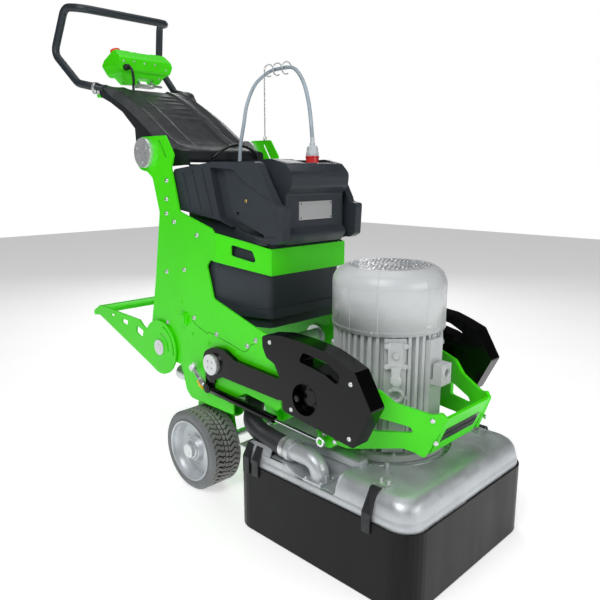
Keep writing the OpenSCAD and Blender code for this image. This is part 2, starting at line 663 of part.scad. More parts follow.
// Shut-off valve at the left cylinder's rear port
valve_tilt = 38;
module valve_frame() {
  translate([-strut_x - 6, strut_rear.x, strut_rear.y]) rotate([valve_tilt, 0, 0]) children();
}
module lift_valve() {
  color("silver") valve_frame() difference() {
    union() {
      translate([0, 15.1, 0]) rotate([-90, 0, 0]) cylinder(h = 66, r = 7);
      translate([0, 22, 0]) rotate([-90, 0, 0]) cylinder(h = 16, r = 9.5, $fn = 6);
      translate([0, 44, 0]) rotate([-90, 0, 0]) cylinder(h = 20, r = 9, $fn = 6);
      translate([0, 30, -14]) cylinder(h = 14, r = 3.5);
    }
    translate([0, 14, 0]) rotate([-90, 0, 0]) cylinder(h = 68, r = 3);
  }
  color([0.1, 0.1, 0.1]) valve_frame() {
    translate([-9, 81.5, -9]) cube([18, 20, 18]);
    translate([-6, 84, 9]) cube([12, 14, 14]);
  }
}
module valve_lever() {
  color("gold") valve_frame() difference() {
    union() {
      translate([-4, 12, -19]) cube([8, 36, 4]);
      translate([0, 30, -20]) cylinder(h = 8, r = 7);
    }
    translate([0, 30, -21]) cylinder(h = 10, r = 3.5 + fit);
  }
}

// ---- grinding head ----
cheek_out = 232;
cheek_t = 10;
slant_y = -640;                   // where the cheeks turn inwards
nose_y = -872;                    // front of the yoke
nose_half = 113;
slant_len = norm([cheek_out - nose_half, slant_y - nose_y]);
slant_turn = atan2(cheek_out - nose_half, slant_y - nose_y);
function slant_s(y) = (slant_y - y) * slant_len / (slant_y - nose_y);
module cheek_front() {
  // Outline along the slanted cheek: distance from the bend, height
  s = [[0, 525, 0], [slant_s(-717), 518, 30], [slant_s(-753), 488, 20], [slant_s(-838), 466, 20],
    [slant_s(-860), 474, 6], [slant_s(-874), 460, 4], [slant_s(-825), 346, 8],
    [slant_s(-798), 360, 10], [slant_s(-773), 366, 10], [slant_s(-677), 350, 20], [0, 345, 0]];
  window = [[70, 446, 6], [slant_s(-788), 428, 10], [slant_s(-801), 412, 6], [70, 404, 6]];
  translate([cheek_out, slant_y, 0]) rotate([0, 0, -slant_turn]) difference() {
    plate(-cheek_t, cheek_t, outline([for (p = s) [-p.x, p.y, p.z]]));
    plate(-cheek_t - 1, cheek_t + 2, outline([for (p = window) [-p.x, p.y, p.z]]));
  }
}
module head_yoke() {
  color(lime) {
    both() {
      difference() {
        plate(cheek_out - cheek_t, cheek_t, outline([[slant_y + 1, 525, 0], [-560, 528, 30],
          [-505, 520, 30], [-505, 440, 30], [-535, 345, 20], [-570, 318, 26], [-606, 345, 10],
          [slant_y + 1, 345, 0]]));
        bar_x(cheek_out - cheek_t - 1, cheek_out + 1, float_y, float_z, pin_r + fit);
      }
      cheek_front();
      bar_x(cheek_out, strut_x + 9, strut_front.x, strut_front.y, 6);
    }
    difference() {
      plate(-nose_half + 4, 2 * nose_half - 8, outline([[-822, 347, 2], [-870, 458, 2],
        [-862, 462, 2], [-814, 350, 2]]));
      plate(-86, 172, [[-840, 378], [-858.5, 420], [-840, 420], [-822, 378]]);
    }
    // Feet that tie the cheeks to the motor flange
    both() {
      block([158, -640, 345], [cheek_out - cheek_t, -552, 351]);
      block([160, -612, 312.2], [172, -578, 345]);
    }
  }
}
module head_light() {
  color([0.06, 0.06, 0.07]) plate(-85, 170, outline([[-837, 379, 1], [-854, 419, 1], [-838, 419, 4],
    [-820, 379, 4]]));
}

housing_low = 312;
housing_top = 644;
rotor_r = 70;
module motor_housing() {
  r = motor_d / 2;
  color("gainsboro") difference() {
    union() {
      translate([0, head_y, housing_low]) linear_extrude(housing_top - housing_low)
        polygon([for (i = [0:fin_count - 1], k = [0:3])
          let(a = 360 * (i + [0, 0.42, 0.5, 0.92][k]) / fin_count, q = k < 2 ? r : r - 16)
          q * [cos(a), sin(a)]]);
      translate([0, head_y, 293]) cylinder(h = 19, r = 175);
      // Cast pad with a lifting lug
      block([-30, head_y - r - 10, 330], [30, head_y - r + 14, 630]);
      block([-24, head_y - r - 44, 505], [24, head_y - r - 16, 564]);
      block([-24, head_y - r - 44, 505], [24, head_y - r - 8, 518]);
      both() block([r - 12, head_y - 12, 520], [r + 26, head_y + 12, 572]);
    }
    translate([0, head_y, 292]) cylinder(h = 30, r = 24 + fit);
    translate([0, head_y, 322]) cylinder(h = 250, r = rotor_r + 1);
    translate([0, head_y, 570]) cylinder(h = 80, r = 24 + fit);
    translate([0, head_y - r - 45, 540]) rotate([-90, 0, 0]) cylinder(h = 30, r = 11);
    for (s = [1, -1]) translate([s * (r + 12), head_y - 13, 550]) rotate([-90, 0, 0]) cylinder(h = 26, r = 11);
  }
}
module motor_cowl() {
  color("gainsboro") difference() {
    translate([0, head_y, 0]) rotate_extrude($fn = 96) polygon([[150, 644.2], [162.5, 644.2],
      [162.5, 769], [160, 784], [152, 799], [138, 811], [125, 818], [0, 820], [0, 816], [124, 814],
      [136, 807], [148, 796], [156, 782], [158.5, 769], [158.5, 648], [150, 648]]);
    for (ring = [1:3], i = [0:ring * 6 - 1]) translate([0, head_y, 800])
      rotate(360 * i / (ring * 6)) translate([ring * 34, 0, 0]) cylinder(h = 30, r = 6, $fn = 6);
  }
}
module motor_rotor() {
  color("silver") translate([0, head_y, 0]) {
    translate([0, 0, 290]) cylinder(h = 410, r = 24);
    translate([0, 0, 340]) cylinder(h = 210, r = rotor_r);
    translate([0, 0, 664]) cylinder(h = 6, r = 120);
    for (a = [0:45:315]) rotate(a) translate([30, -2, 670]) cube([86, 4, 40]);
  }
}

lid_low = 216;
lid_top = 292;
lid_half = head_w / 2 - 6;
lid_front = -half_len + 6;
lid_back = -half_len + head_len - 6;
lid_slope = 27;
module lid_shell(inset, z0, z1) {
  hull() {
    head_slab(lid_half - inset, lid_front + inset, lid_back - inset, z0, 14, skirt_corner - 6);
    head_slab(lid_half - lid_slope - inset, lid_front + lid_slope + inset,
      lid_back - lid_slope - inset, z1 - 1, 1, skirt_corner - 14);
  }
}
// Sunken bay and channel in the lid's left edge, for the elbow and the hose
bay_in = -206;                    // its wall towards the motor
bay_floor = 236;
channel_floor = 258;
module hose_bay(grow) {
  open_edge = -head_w / 2 - 10;
  plate(open_edge, bay_in + grow - open_edge, outline([[-655 - grow, 330, 0],
    [-655 - grow, bay_floor - grow, 6], [-500, bay_floor - grow, 20],
    [-455, channel_floor - grow, 20], [-400 + grow, channel_floor - grow, 0],
    [-400 + grow, 330, 0]]));
  block([-280 - grow, -401, channel_floor - grow], [bay_in + grow, -200, 330]);
}
module head_cover() {
  color("silver") difference() {
    union() {
      lid_shell(0, lid_low, lid_top);
      // Ridge beside the bay
      block([bay_in - 8, -672, lid_top - 10], [-180, -470, 312]);
    }
    difference() {
      lid_shell(6, lid_low - 4, lid_top - 7);
      hose_bay(6);
    }
    hose_bay(0);
    translate([0, head_y, 270]) cylinder(h = 30, r = 45 + fit);
    translate([-hose_x, elbow_y, bay_floor - 10]) cylinder(h = 20, r = 22);
  }
}
bend_r = 42;
module suction_elbow() {
  color("silver") translate([-hose_x, elbow_y, bay_floor]) difference() {
    union() {
      translate([-34, -34, 0]) cube([66, 68, 8]);
      translate([0, 0, 4]) cylinder(h = 10, r = 26);
      translate([0, bend_r, 14]) rotate([90, 0, -90]) rotate_extrude(angle = 90)
        translate([bend_r, 0]) circle(r = 26);
      translate([0, bend_r, 14 + bend_r]) rotate([-90, 0, 0]) cylinder(h = 74, r = 26);
      translate([0, 98, 14 + bend_r]) rotate([-90, 0, 0]) cylinder(h = 18, r = 33);
      translate([-6, -32, 2]) cube([12, 20, 24]);
    }
    translate([0, 0, -1]) cylinder(h = 15.1, r = 22);
    translate([0, bend_r, 14]) rotate([90, 0, -90]) rotate_extrude(angle = 90)
      translate([bend_r, 0]) circle(r = 22);
    translate([0, bend_r - 0.1, 14 + bend_r]) rotate([-90, 0, 0]) cylinder(h = 80, r = 22);
  }
}
module cover_studs() {
  color("silver") {
    for (p = [[-151, -521], [151, -521]]) translate([p.x, p.y, 312]) cylinder(h = 18, r = 7);
    for (p = [[-160, -722], [160, -722]]) translate([p.x, p.y, lid_top]) cylinder(h = 16, r = 7);
    both() {
      block([222, -790, lid_top], [256, -752, lid_top + 5]);
      for (y = [-783, -759]) translate([232, y, lid_top + 5]) cylinder(h = 9, r = 6, $fn = 6);
    }
  }
}
strap_x = head_w / 2 + 0.8;
module strap(y, pts) {
  translate([0, y, 0]) rotate([90, 0, 0]) linear_extrude(26, center = true) polygon(outline(pts));
}
module skirt_straps() {
  low = [[strap_x + 5, 186, 2], [strap_x, 186, 2]];
  color([0.12, 0.13, 0.14]) both() {
    strap(-770, concat([[262, 296, 2], [276, 299, 6], [strap_x + 5, 240, 8]], low,
      [[strap_x, 232, 6], [273.5, 292.3, 4], [262, 292.3, 0]]));
    for (y = [-352, -312]) strap(y, concat([[282, 274, 2], [289, 274, 3], [strap_x + 5, 238, 8]],
      low, [[strap_x, 230, 6], [284, 270, 2], [282, 270, 0]]));
  }
}
module skirt() {
  color([0.13, 0.13, 0.13]) difference() {
    head_slab(head_w / 2, -half_len, -half_len + head_len, skirt_low, skirt_top - skirt_low,
      skirt_corner);
    head_slab(head_w / 2 - skirt_wall, -half_len + skirt_wall,
      -half_len + head_len - skirt_wall, skirt_low - 1, skirt_top, skirt_corner - skirt_wall);
  }
}

carrier_r = 220;
disc_ring = 130;
module planet_carrier() {
  color("silver") difference() {
    translate([0, head_y, 0]) {
      translate([0, 0, 92]) cylinder(h = 80, r = carrier_r);
      translate([0, 0, 172]) cylinder(h = 116, r = 45);
    }
    for (i = [0:disc_count - 1]) translate([0, head_y, 60]) rotate(i * 360 / disc_count)
      translate([0, -disc_ring, 0]) cylinder(h = 92, r = 20 + fit);
  }
}
module tool_disc(i) {
  color("dimgray") translate([0, head_y, 0]) rotate(i * 360 / disc_count)
    translate([0, -disc_ring, 0]) {
      translate([0, 0, 16]) cylinder(h = 130, r = 20);
      translate([0, 0, 16]) cylinder(h = 30, r = disc_d / 2);
      difference() {
        cylinder(h = 16, r = disc_d / 2);
        translate([0, 0, -1]) cylinder(h = 17, r = disc_d / 2 - 28);
        for (a = [0:30:150]) rotate(a) translate([-disc_d, -3, -1]) cube([2 * disc_d, 6, 8]);
      }
    }
}
module tool_disc_1() { tool_disc(0); }
module tool_disc_2() { tool_disc(1); }
module tool_disc_3() { tool_disc(2); }

// ---- weights ----
weight_front_y = -788;
module weight() {
  color([0.09, 0.09, 0.1]) difference() {
    plate(weight_in, weight_t, outline([[-402, 633, 12], [-476, 645, 60], [-551, 643, 120],
      [-639, 634, 120], [-692, 617, 60], [-736, 600, 8], [weight_front_y, 513, 8],
      [-735, 404, 8], [-484, 434, 12], [-472, 526, 14], [-451, 561, 10], [-419, 572, 10],
      [-404, 600, 10]]));
    plate(weight_in - 1, weight_t + 2, outline([[-545, 588, 6], [-560, 616, 10], [-640, 606, 60],
      [-690, 582, 12], [-680, 555, 8], [-640, 572, 30], [-600, 580, 40]]));
    bar_x(weight_in - 1, weight_in + weight_t + 1, float_y, float_z, hub_r + fit);
    bar_x(weight_in + 27, weight_in + weight_t + 1, float_y, float_z, window_r);
    bar_x(weight_in + 8, weight_in + 40, float_y + lock_at, float_z - 6, 5 + fit);
    for (b = [[-432, 618], [-722, 568], [-720, 425], [-515, 446]])
      bar_x(weight_in + weight_t - 3, weight_in + weight_t + 1, b.x, b.y, 7);
  }
}
module weight_lock() {
  color([0.16, 0.16, 0.17]) {
    bar_x(weight_in + 10, weight_in + 29, float_y + lock_at, float_z - 6, 5);
    bar_x(weight_in + 28, weight_in + 50, float_y + lock_at, float_z - 6, 9);
  }
}
module weight_left() { left_side() weight(); }
module weight_right() { weight(); }
module weight_lock_left() { left_side() weight_lock(); }
module weight_lock_right() { weight_lock(); }

// ---- foot lever ----
lever_in = plate_out + 5;
lever_t = 6;
module foot_lever() {
  color(lime) {
    both() difference() {
      union() {
        plate(lever_in, lever_t, outline([[250, 480, 0], [330, 520, 10], [352, 538, 10],
          [648, 549, 8], [700, 520, 10], [700, 503, 6], [650, 508, 10], [256, 367, 0]]));
        bar_x(lever_in, lever_in + lever_t, lever_y, lever_z, 98);
      }
      bar_x(lever_in - 1, lever_in + lever_t + 1, lever_y, lever_z, 12 + fit);
      plate(lever_in - 1, lever_t + 2, outline([[330, 500, 4], [375, 512, 4], [380, 486, 4],
        [340, 470, 4]]));
      plate(lever_in - 1, lever_t + 2, outline([[435, 520, 4], [475, 522, 4], [482, 506, 4],
        [445, 498, 4]]));
      plate(lever_in - 1, lever_t + 2, outline([[535, 528, 3], [562, 529, 3], [566, 520, 3],
        [542, 517, 3]]));
      // Arc slots round the pivot
      for (ring = [[48, 58, 10, 95], [80, 87, 15, 100]])
        plate(lever_in - 1, lever_t + 2, [for (k = [0:8], a = 90 + ring[2] + (ring[3] - ring[2]) * k / 8)
          [lever_y, lever_z] + ring[0] * [cos(a), sin(a)],
          for (k = [8:-1:0], a = 90 + ring[2] + (ring[3] - ring[2]) * k / 8)
          [lever_y, lever_z] + ring[1] * [cos(a), sin(a)]]);
    }
    plate(-lever_in, 2 * lever_in, outline([[660, 546, 3], [704, 520, 10], [704, 500, 3],
      [698, 500, 2], [698, 517, 6], [657, 541, 2]]));
  }
}

side_plate_left();
side_plate_right();
tank_band();
chassis_deck();
rear_cabinet();
axle_brackets();
wheel_axle();
water_tank();
tank_cover();
nameplate();
power_connector();
power_lead();
cable_boom();
frame_bolts();
arm_bushes();
cross_tubes();
handle_pivots();
friction_discs();
dust_outlet();
tyre_left();
rim_left();
tyre_right();
rim_right();
handle_frame();
handle_cover();
handlebar();
handlebar_clamps();
panel_bracket();
control_cables();
control_box();
panel_face();
emergency_stop();
speed_knob();
start_button();
swing_arms();
arm_pivot_shaft();
suction_hose();
lift_valve();
valve_lever();
head_yoke();
head_light();
motor_housing();
motor_cowl();
head_cover();
suction_elbow();
cover_studs();
skirt_straps();
skirt();
motor_rotor();
planet_carrier();
tool_disc_1();
tool_disc_2();
tool_disc_3();
weight_left();
weight_right();
weight_lock_left();
weight_lock_right();
lift_cylinders();
lift_rods();
foot_lever();
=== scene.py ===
import math
import random

import bmesh
import bpy
from mathutils import Matrix, Vector
from mathutils.noise import noise


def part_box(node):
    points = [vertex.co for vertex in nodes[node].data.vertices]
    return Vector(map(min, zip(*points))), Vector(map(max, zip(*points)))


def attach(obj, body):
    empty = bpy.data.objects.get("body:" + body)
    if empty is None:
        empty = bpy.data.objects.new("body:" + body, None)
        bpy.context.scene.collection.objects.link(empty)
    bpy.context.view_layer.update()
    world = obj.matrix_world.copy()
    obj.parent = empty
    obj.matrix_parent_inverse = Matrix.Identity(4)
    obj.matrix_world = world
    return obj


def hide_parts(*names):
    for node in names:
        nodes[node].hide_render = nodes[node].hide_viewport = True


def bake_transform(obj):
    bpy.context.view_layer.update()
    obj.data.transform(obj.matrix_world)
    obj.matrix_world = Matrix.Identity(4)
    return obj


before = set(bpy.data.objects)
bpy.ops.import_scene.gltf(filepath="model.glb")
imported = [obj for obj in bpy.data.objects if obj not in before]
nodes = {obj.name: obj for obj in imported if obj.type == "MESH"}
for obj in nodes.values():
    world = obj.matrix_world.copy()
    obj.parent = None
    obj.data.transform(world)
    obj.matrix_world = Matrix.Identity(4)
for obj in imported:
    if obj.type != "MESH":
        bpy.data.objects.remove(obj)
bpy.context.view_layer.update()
random.seed(7)
scene = bpy.context.scene
MM = 0.001


# ---- camera ----
def make_camera():
    data = bpy.data.cameras.new("camera")
    data.lens, data.sensor_width = 37.62, 36
    cam = bpy.data.objects.new("camera", data)
    scene.collection.objects.link(cam)
    ahead = Vector((0.698, 0.6865, -0.2028)).normalized()
    right = ahead.cross(Vector((0, 0, 1))).normalized()
    up = right.cross(ahead)
    m = Matrix((right, up, -ahead)).transposed().to_4x4()
    m.translation = (-1.44238, -1.65410, 1.080)
    cam.matrix_world = m
    scene.camera = cam


make_camera()


# ---- materials ----
def srgb(r, g, b):
    def lin(c):
        c /= 255
        return c / 12.92 if c < 0.04045 else ((c + 0.055) / 1.055) ** 2.4
    return (lin(r), lin(g), lin(b), 1)


class Look:
    """A Principled material whose colour, roughness and bump come from noise in the row frame."""

    def __init__(self, name, color, rough=0.5, metal=0.0, coat=0.0, coat_rough=0.1, spec=0.5,
                 sheen=0.0):
        self.m = bpy.data.materials.new(name)
        self.m.use_nodes = True
        self.nt = self.m.node_tree
        self.bsdf = self.nt.nodes["Principled BSDF"]
        self.color, self.rough = color, rough
        self.bsdf.inputs["Base Color"].default_value = color
        self.bsdf.inputs["Roughness"].default_value = rough
        self.bsdf.inputs["Metallic"].default_value = metal
        self.bsdf.inputs["Coat Weight"].default_value = coat
        self.bsdf.inputs["Coat Roughness"].default_value = coat_rough
        self.bsdf.inputs["Specular IOR Level"].default_value = spec
        self.bsdf.inputs["Sheen Weight"].default_value = sheen
        self.where = self.add("ShaderNodeTexCoord").outputs["Object"]
        self.last_bump = None

    def add(self, kind, **values):
        n = self.nt.nodes.new(kind)
        for k, v in values.items():
            if hasattr(n, k):
                setattr(n, k, v)
            else:
                n.inputs[k.replace("_", " ")].default_value = v
        return n

    def link(self, a, b):
        self.nt.links.new(a, b)

    def stretched(self, scale):
        n = self.add("ShaderNodeMapping")
        n.inputs["Scale"].default_value = scale
        self.link(self.where, n.inputs["Vector"])
        return n.outputs["Vector"]

    def noise(self, scale, detail=3.0, rough=0.5, stretch=None):
        n = self.add("ShaderNodeTexNoise", Scale=scale, Detail=detail, Roughness=rough)
        self.link(self.stretched(stretch) if stretch else self.where, n.inputs["Vector"])
        return n.outputs["Fac"]

    def ramp(self, value, low, high, a=0.35, b=0.65):
        n = self.add("ShaderNodeMapRange", clamp=True)
        self.link(value, n.inputs["Value"])
        for key, v in (("From Min", a), ("From Max", b), ("To Min", low), ("To Max", high)):
            n.inputs[key].default_value = v
        return n.outputs["Result"]

    def tint(self, value, other, amount=1.0):
        """Mixes the base colour with another, driven by value."""
        mix = self.add("ShaderNodeMix", data_type="RGBA")
        mix.inputs[6].default_value = self.color
        mix.inputs[7].default_value = other
        self.link(self.ramp(value, 0, amount), mix.inputs[0])
        source = self.bsdf.inputs["Base Color"]
        if source.is_linked:
            self.link(source.links[0].from_socket, mix.inputs[6])
        self.link(mix.outputs[2], source)
        return self

    def shade(self, low, high, scale=6, stretch=None, detail=4):
        """Slow variation in brightness."""
        c = self.color
        dark = (c[0] * low, c[1] * low, c[2] * low, 1)
        light = (min(1, c[0] * high), min(1, c[1] * high), min(1, c[2] * high), 1)
        self.color = dark
        return self.tint(self.noise(scale, detail, 0.55, stretch), light)

    def gloss(self, low, high, scale=14, stretch=None):
        self.link(self.ramp(self.noise(scale, 4, 0.6, stretch), low, high),
                  self.bsdf.inputs["Roughness"])
        return self

    def bump(self, value, distance, strength=1.0):
        n = self.add("ShaderNodeBump", Strength=strength, Distance=distance)
        self.link(value, n.inputs["Height"])
        if self.last_bump:
            self.link(self.last_bump, n.inputs["Normal"])
        self.last_bump = n.outputs["Normal"]
        self.link(self.last_bump, self.bsdf.inputs["Normal"])
        return self

    def grain(self, scale, distance, strength=1.0, stretch=None, detail=2):
        return self.bump(self.noise(scale, detail, 0.5, stretch), distance, strength)

    def pebbles(self, scale, distance, strength=1.0):
        n = self.add("ShaderNodeTexVoronoi", Scale=scale, feature="SMOOTH_F1")
        self.link(self.where, n.inputs["Vector"])
        return self.bump(n.outputs["Distance"], distance, strength)


def paint(name, color, rough=0.3, coat=0.1, spec=0.35):
    look = Look(name, color, rough, coat=coat, coat_rough=0.12, spec=spec)
    return look.shade(0.95, 1.04, 3).gloss(rough - 0.05, rough + 0.07, 9) \
        .grain(420, 0.00022, 0.35).grain(1500, 0.00008, 0.25).m


def brushed(name, color, rough=0.32, stretch=(60, 60, 900), metal=1.0):
    look = Look(name, color, rough, metal)
    return look.shade(0.94, 1.03, 1, stretch).gloss(rough - 0.04, rough + 0.08, 1, stretch) \
        .grain(1, 0.00003, 0.25, stretch).m


def cast(name, color, rough=0.45, metal=0.85, depth=0.0003):
    look = Look(name, color, rough, metal)
    return look.shade(0.9, 1.06, 7).gloss(rough - 0.08, rough + 0.12, 30) \
        .grain(520, depth, 0.6).pebbles(260, depth * 0.7, 0.3).m


def plastic(name, color, rough=0.5, pebble=700, depth=0.00016, coat=0.0):
    look = Look(name, color, rough, coat=coat, spec=0.38)
    return look.shade(0.9, 1.1, 5).gloss(rough - 0.07, rough + 0.08, 22) \
        .pebbles(pebble, depth, 0.5).grain(2200, 0.00005, 0.3).m


def rubber(name, color, rough=0.62, scale=900, depth=0.00015):
    look = Look(name, color, rough, sheen=0.05)
    return look.shade(0.85, 1.15, 9).gloss(rough - 0.1, rough + 0.12, 40) \
        .grain(scale, depth, 0.5).m


green = paint("green_powder_coat", srgb(74, 240, 10), 0.36)
black_gloss = paint("black_gloss_paint", srgb(7, 7, 8), 0.11, 0.0, 0.24)
tube_black = paint("handle_tube_satin", srgb(48, 55, 61), 0.36, 0.0)
steel = brushed("turned_steel", srgb(222, 225, 228), 0.3, (60, 60, 60), 0.8)
steel_y = brushed("drawn_steel", srgb(220, 223, 226), 0.3, (900, 40, 900), 0.8)
chrome = brushed("ground_rod", srgb(222, 226, 230), 0.12, (400, 30, 400))
zinc = cast("zinc_plate", srgb(226, 228, 228), 0.34, 0.75, 0.00006)
alloy_lid = cast("lid_casting", srgb(206, 210, 214), 0.44, 0.55, 0.0001)
alloy_rim = cast("rim_alloy", srgb(212, 216, 220), 0.38, 0.55, 0.0001)
motor_grey = cast("motor_casting", srgb(208, 211, 212), 0.5, 0.1, 0.0002)
cowl_grey = Look("cowl_lacquer", srgb(214, 217, 219), 0.32, coat=0.1, coat_rough=0.1) \
    .shade(0.95, 1.03, 2.5).gloss(0.24, 0.36, 6).grain(300, 0.0002, 0.3).m
tank_plastic = plastic("tank_plastic", srgb(54, 60, 67), 0.44, 620, 0.0002)
cover_plastic = plastic("handle_cover_plastic", srgb(33, 36, 40), 0.5, 900, 0.0001)
box_plastic = plastic("black_moulding", srgb(28, 29, 31), 0.42, 900, 0.0001)
skirt_black = Look("skirt_rubber", srgb(13, 13, 14), 0.36, spec=0.2) \
    .shade(0.85, 1.2, 4, (1, 1, 0.12)).gloss(0.27, 0.42, 5, (1, 1, 0.2)) \
    .grain(9, 0.004, 0.5, (1, 1, 0.18)).grain(800, 0.0001, 0.4).m
strap_rubber = rubber("strap_rubber", srgb(32, 34, 37), 0.5)
hose_rubber = rubber("hose_rubber", srgb(44, 46, 49), 0.42, 1200, 0.0001)
tyre_side = rubber("tyre_sidewall", srgb(126, 129, 131), 0.7, 500, 0.0003)
tyre_tread = rubber("tyre_tread", srgb(150, 149, 147), 0.75, 420, 0.0005)
# Darker rubber for the tread's grooves: painted shade in the grooves
tyre_groove_shade = rubber("tyre_groove_shade", srgb(58, 59, 61), 0.85, 400, 0.0004)
cable_grey = rubber("cable_grey", srgb(166, 180, 190), 0.42, 1500, 0.00005)
cable_black = rubber("cable_black", srgb(20, 20, 22), 0.35, 1500, 0.00005)
white_disc = plastic("white_friction_disc", srgb(238, 238, 232), 0.4, 900, 0.00005)
red_plastic = plastic("red_moulding", srgb(238, 56, 56), 0.32, 900, 0.00005, 0.2)
green_button = plastic("green_button", srgb(30, 150, 66), 0.32, 900, 0.00005, 0.2)
yellow_lever = plastic("yellow_lever", srgb(250, 204, 58), 0.4, 900, 0.00005)
pale_plug = plastic("plug_grey", srgb(206, 214, 218), 0.4, 900, 0.00006)
lamp = Look("lamp_glass", srgb(14, 15, 18), 0.12, coat=0.6).shade(0.8, 1.2, 20) \
    .grain(700, 0.00008, 0.3).m
pivot_face = brushed("turned_pivot_face", srgb(226, 228, 231), 0.3, (30, 30, 30), 0.6)
steel_face = brushed("machined_face", srgb(214, 217, 220), 0.26, (40, 40, 40))
brass = brushed("brass", srgb(230, 196, 120), 0.3, (300, 300, 300))
plate_brushed = brushed("brushed_plate", srgb(222, 223, 224), 0.34, (8, 900, 900), 0.85)
iron = cast("cast_iron", srgb(74, 75, 77), 0.6, 0.6, 0.0004)
dark_cabinet = plastic("cabinet_plastic", srgb(48, 52, 57), 0.46, 700, 0.0002)

looks = {
    green: "side_plate_left side_plate_right tank_band chassis_deck axle_brackets cross_tubes "
           "handle_frame control_box head_yoke foot_lever",
    tank_plastic: "water_tank tank_cover",
    dark_cabinet: "rear_cabinet",
    steel: "wheel_axle arm_bushes frame_bolts lift_valve motor_rotor planet_carrier",
    pivot_face: "handle_pivots arm_pivot_shaft",
    steel_y: "dust_outlet cable_boom",
    plate_brushed: "nameplate",
    white_disc: "friction_discs",
    tyre_side: "tyre_left tyre_right",
    alloy_rim: "rim_left rim_right",
    cover_plastic: "handle_cover",
    tube_black: "handlebar",
    zinc: "handlebar_clamps panel_bracket cover_studs",
    cable_black: "control_cables",
    cable_grey: "power_lead",
    box_plastic: "panel_face speed_knob",
    red_plastic: "emergency_stop power_connector",
    green_button: "start_button",
    black_gloss: "swing_arms lift_cylinders weight_left weight_right weight_lock_left "
                 "weight_lock_right",
    chrome: "lift_rods",
    yellow_lever: "valve_lever",
    lamp: "head_light",
    motor_grey: "motor_housing",
    cowl_grey: "motor_cowl",
    alloy_lid: "head_cover suction_elbow",
    strap_rubber: "skirt_straps",
    skirt_black: "skirt",
    iron: "tool_disc_1 tool_disc_2 tool_disc_3",
    hose_rubber: "suction_hose",
}
look_of = {n: m for m, names in looks.items() for n in names.split()}

# Rounded edges, in millimetres, that catch the light on each carried-over part
edge = {"handle_pivots": 0.5, "arm_pivot_shaft": 0.5, "cross_tubes": 0.8, "tank_cover": 5,
        "water_tank": 5, "rear_cabinet": 3, "control_box": 3.5,
        "head_cover": 2.5,
        "suction_elbow": 1.5, "motor_housing": 0.9, "skirt": 1.2, "nameplate": 0.5,
        "handlebar": 0, "handlebar_clamps": 1.2, "panel_bracket": 0.5, "skirt_straps": 0.8,
        "frame_bolts": 1.2, "friction_discs": 1, "cable_boom": 0, "power_lead": 0,
        "emergency_stop": 2, "speed_knob": 1.2, "start_button": 1, "motor_cowl": 0,
        "weight_left": 1.6, "weight_right": 1.6, "weight_lock_left": 1.5, "weight_lock_right": 1.5,
        "rim_left": 1, "rim_right": 1, "head_yoke": 1.2, "side_plate_left": 1,
        "side_plate_right": 1, "tool_disc_1": 1, "tool_disc_2": 1, "tool_disc_3": 1,
        "lift_valve": 0.7, "valve_lever": 1, "power_connector": 1.2, "cover_studs": 1}


def smooth_by_angle(obj, degrees=32):
    mesh = obj.data
    mesh.shade_smooth()
    mesh.set_sharp_from_angle(angle=math.radians(degrees))


for name, obj in nodes.items():
    obj.data.materials.clear()
    obj.data.materials.append(look_of[name])
    width = edge.get(name, 1.0)
    weld = obj.modifiers.new("weld", "WELD")
    weld.merge_threshold = 0.00002
    if width:
        bevel = obj.modifiers.new("edges", "BEVEL")
        bevel.width = width * MM
        bevel.segments = 3 if width > 2 else 2
        bevel.limit_method = "ANGLE"
        bevel.angle_limit = math.radians(34)
        bevel.use_clamp_overlap = True
        bevel.miter_outer = "MITER_ARC"
        bevel.harden_normals = True
    else:
        obj.data.shade_smooth()


def recolour(name, look, inside):
    """Gives a second material to the faces whose centre is inside."""
    mesh = nodes[name].data
    mesh.materials.append(look)
    for f in mesh.polygons:
        c = f.center / MM
        if inside(c):
            f.material_index = 1


recolour("cross_tubes", pivot_face, lambda c: c.y > 150)
recolour("dust_outlet", green, lambda c: abs(c.x + 105) > 34)

# ---- mesh helpers ----
def new(name, bm, look, body, smooth=34, bevel=0):
    mesh = bpy.data.meshes.new(name)
    bmesh.ops.recalc_face_normals(bm, faces=bm.faces)
    bm.to_mesh(mesh)
    bm.free()
    obj = bpy.data.objects.new(name, mesh)
    scene.collection.objects.link(obj)
    mesh.materials.append(look)
    smooth_by_angle(obj, smooth)
    if bevel:
        mod = obj.modifiers.new("edges", "BEVEL")
        mod.width, mod.segments = bevel * MM, 2
        mod.limit_method, mod.angle_limit = "ANGLE", math.radians(36)
    if body:
        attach(obj, body)
    return obj


def grid(bm, rows, closed_u=False, closed_v=False, cap=False, mat=None):
    """Joins rows of points into quads; cap closes the first and last row."""
    vs = [[bm.verts.new(p) for p in row] for row in rows]
    n, k = len(rows), len(rows[0])
    for i in range(n if closed_v else n - 1):
        for j in range(k if closed_u else k - 1):
            q = (vs[i][j], vs[i][(j + 1) % k], vs[(i + 1) % n][(j + 1) % k], vs[(i + 1) % n][j])
            if len(set(q)) == 4:
                f = bm.faces.new(q)
                if mat:
                    f.material_index = mat(i, j)
    if cap:
        bm.faces.new(vs[0])
        bm.faces.new(vs[-1])
    return vs


def circle(centre, axis, r, n=32, phase=0.0):
    axis = Vector(axis).normalized()
    side = axis.cross(Vector((0, 0, 1)) if abs(axis.z) < 0.9 else Vector((1, 0, 0))).normalized()
    other = axis.cross(side)
    c = Vector(centre)
    return [c + r * (math.cos(a) * side + math.sin(a) * other)
            for a in (2 * math.pi * k / n + phase for k in range(n))]


def turned(bm, centre, axis, profile, n=32, phase=0.0):
    """A solid of revolution: profile of (distance along the axis, radius) in millimetres."""
    c, a = Vector(centre), Vector(axis).normalized()
    rows = [circle(c + a * h * MM, a, max(r, 0.01) * MM, n, phase) for h, r in profile]
    grid(bm, rows, closed_u=True, cap=True)


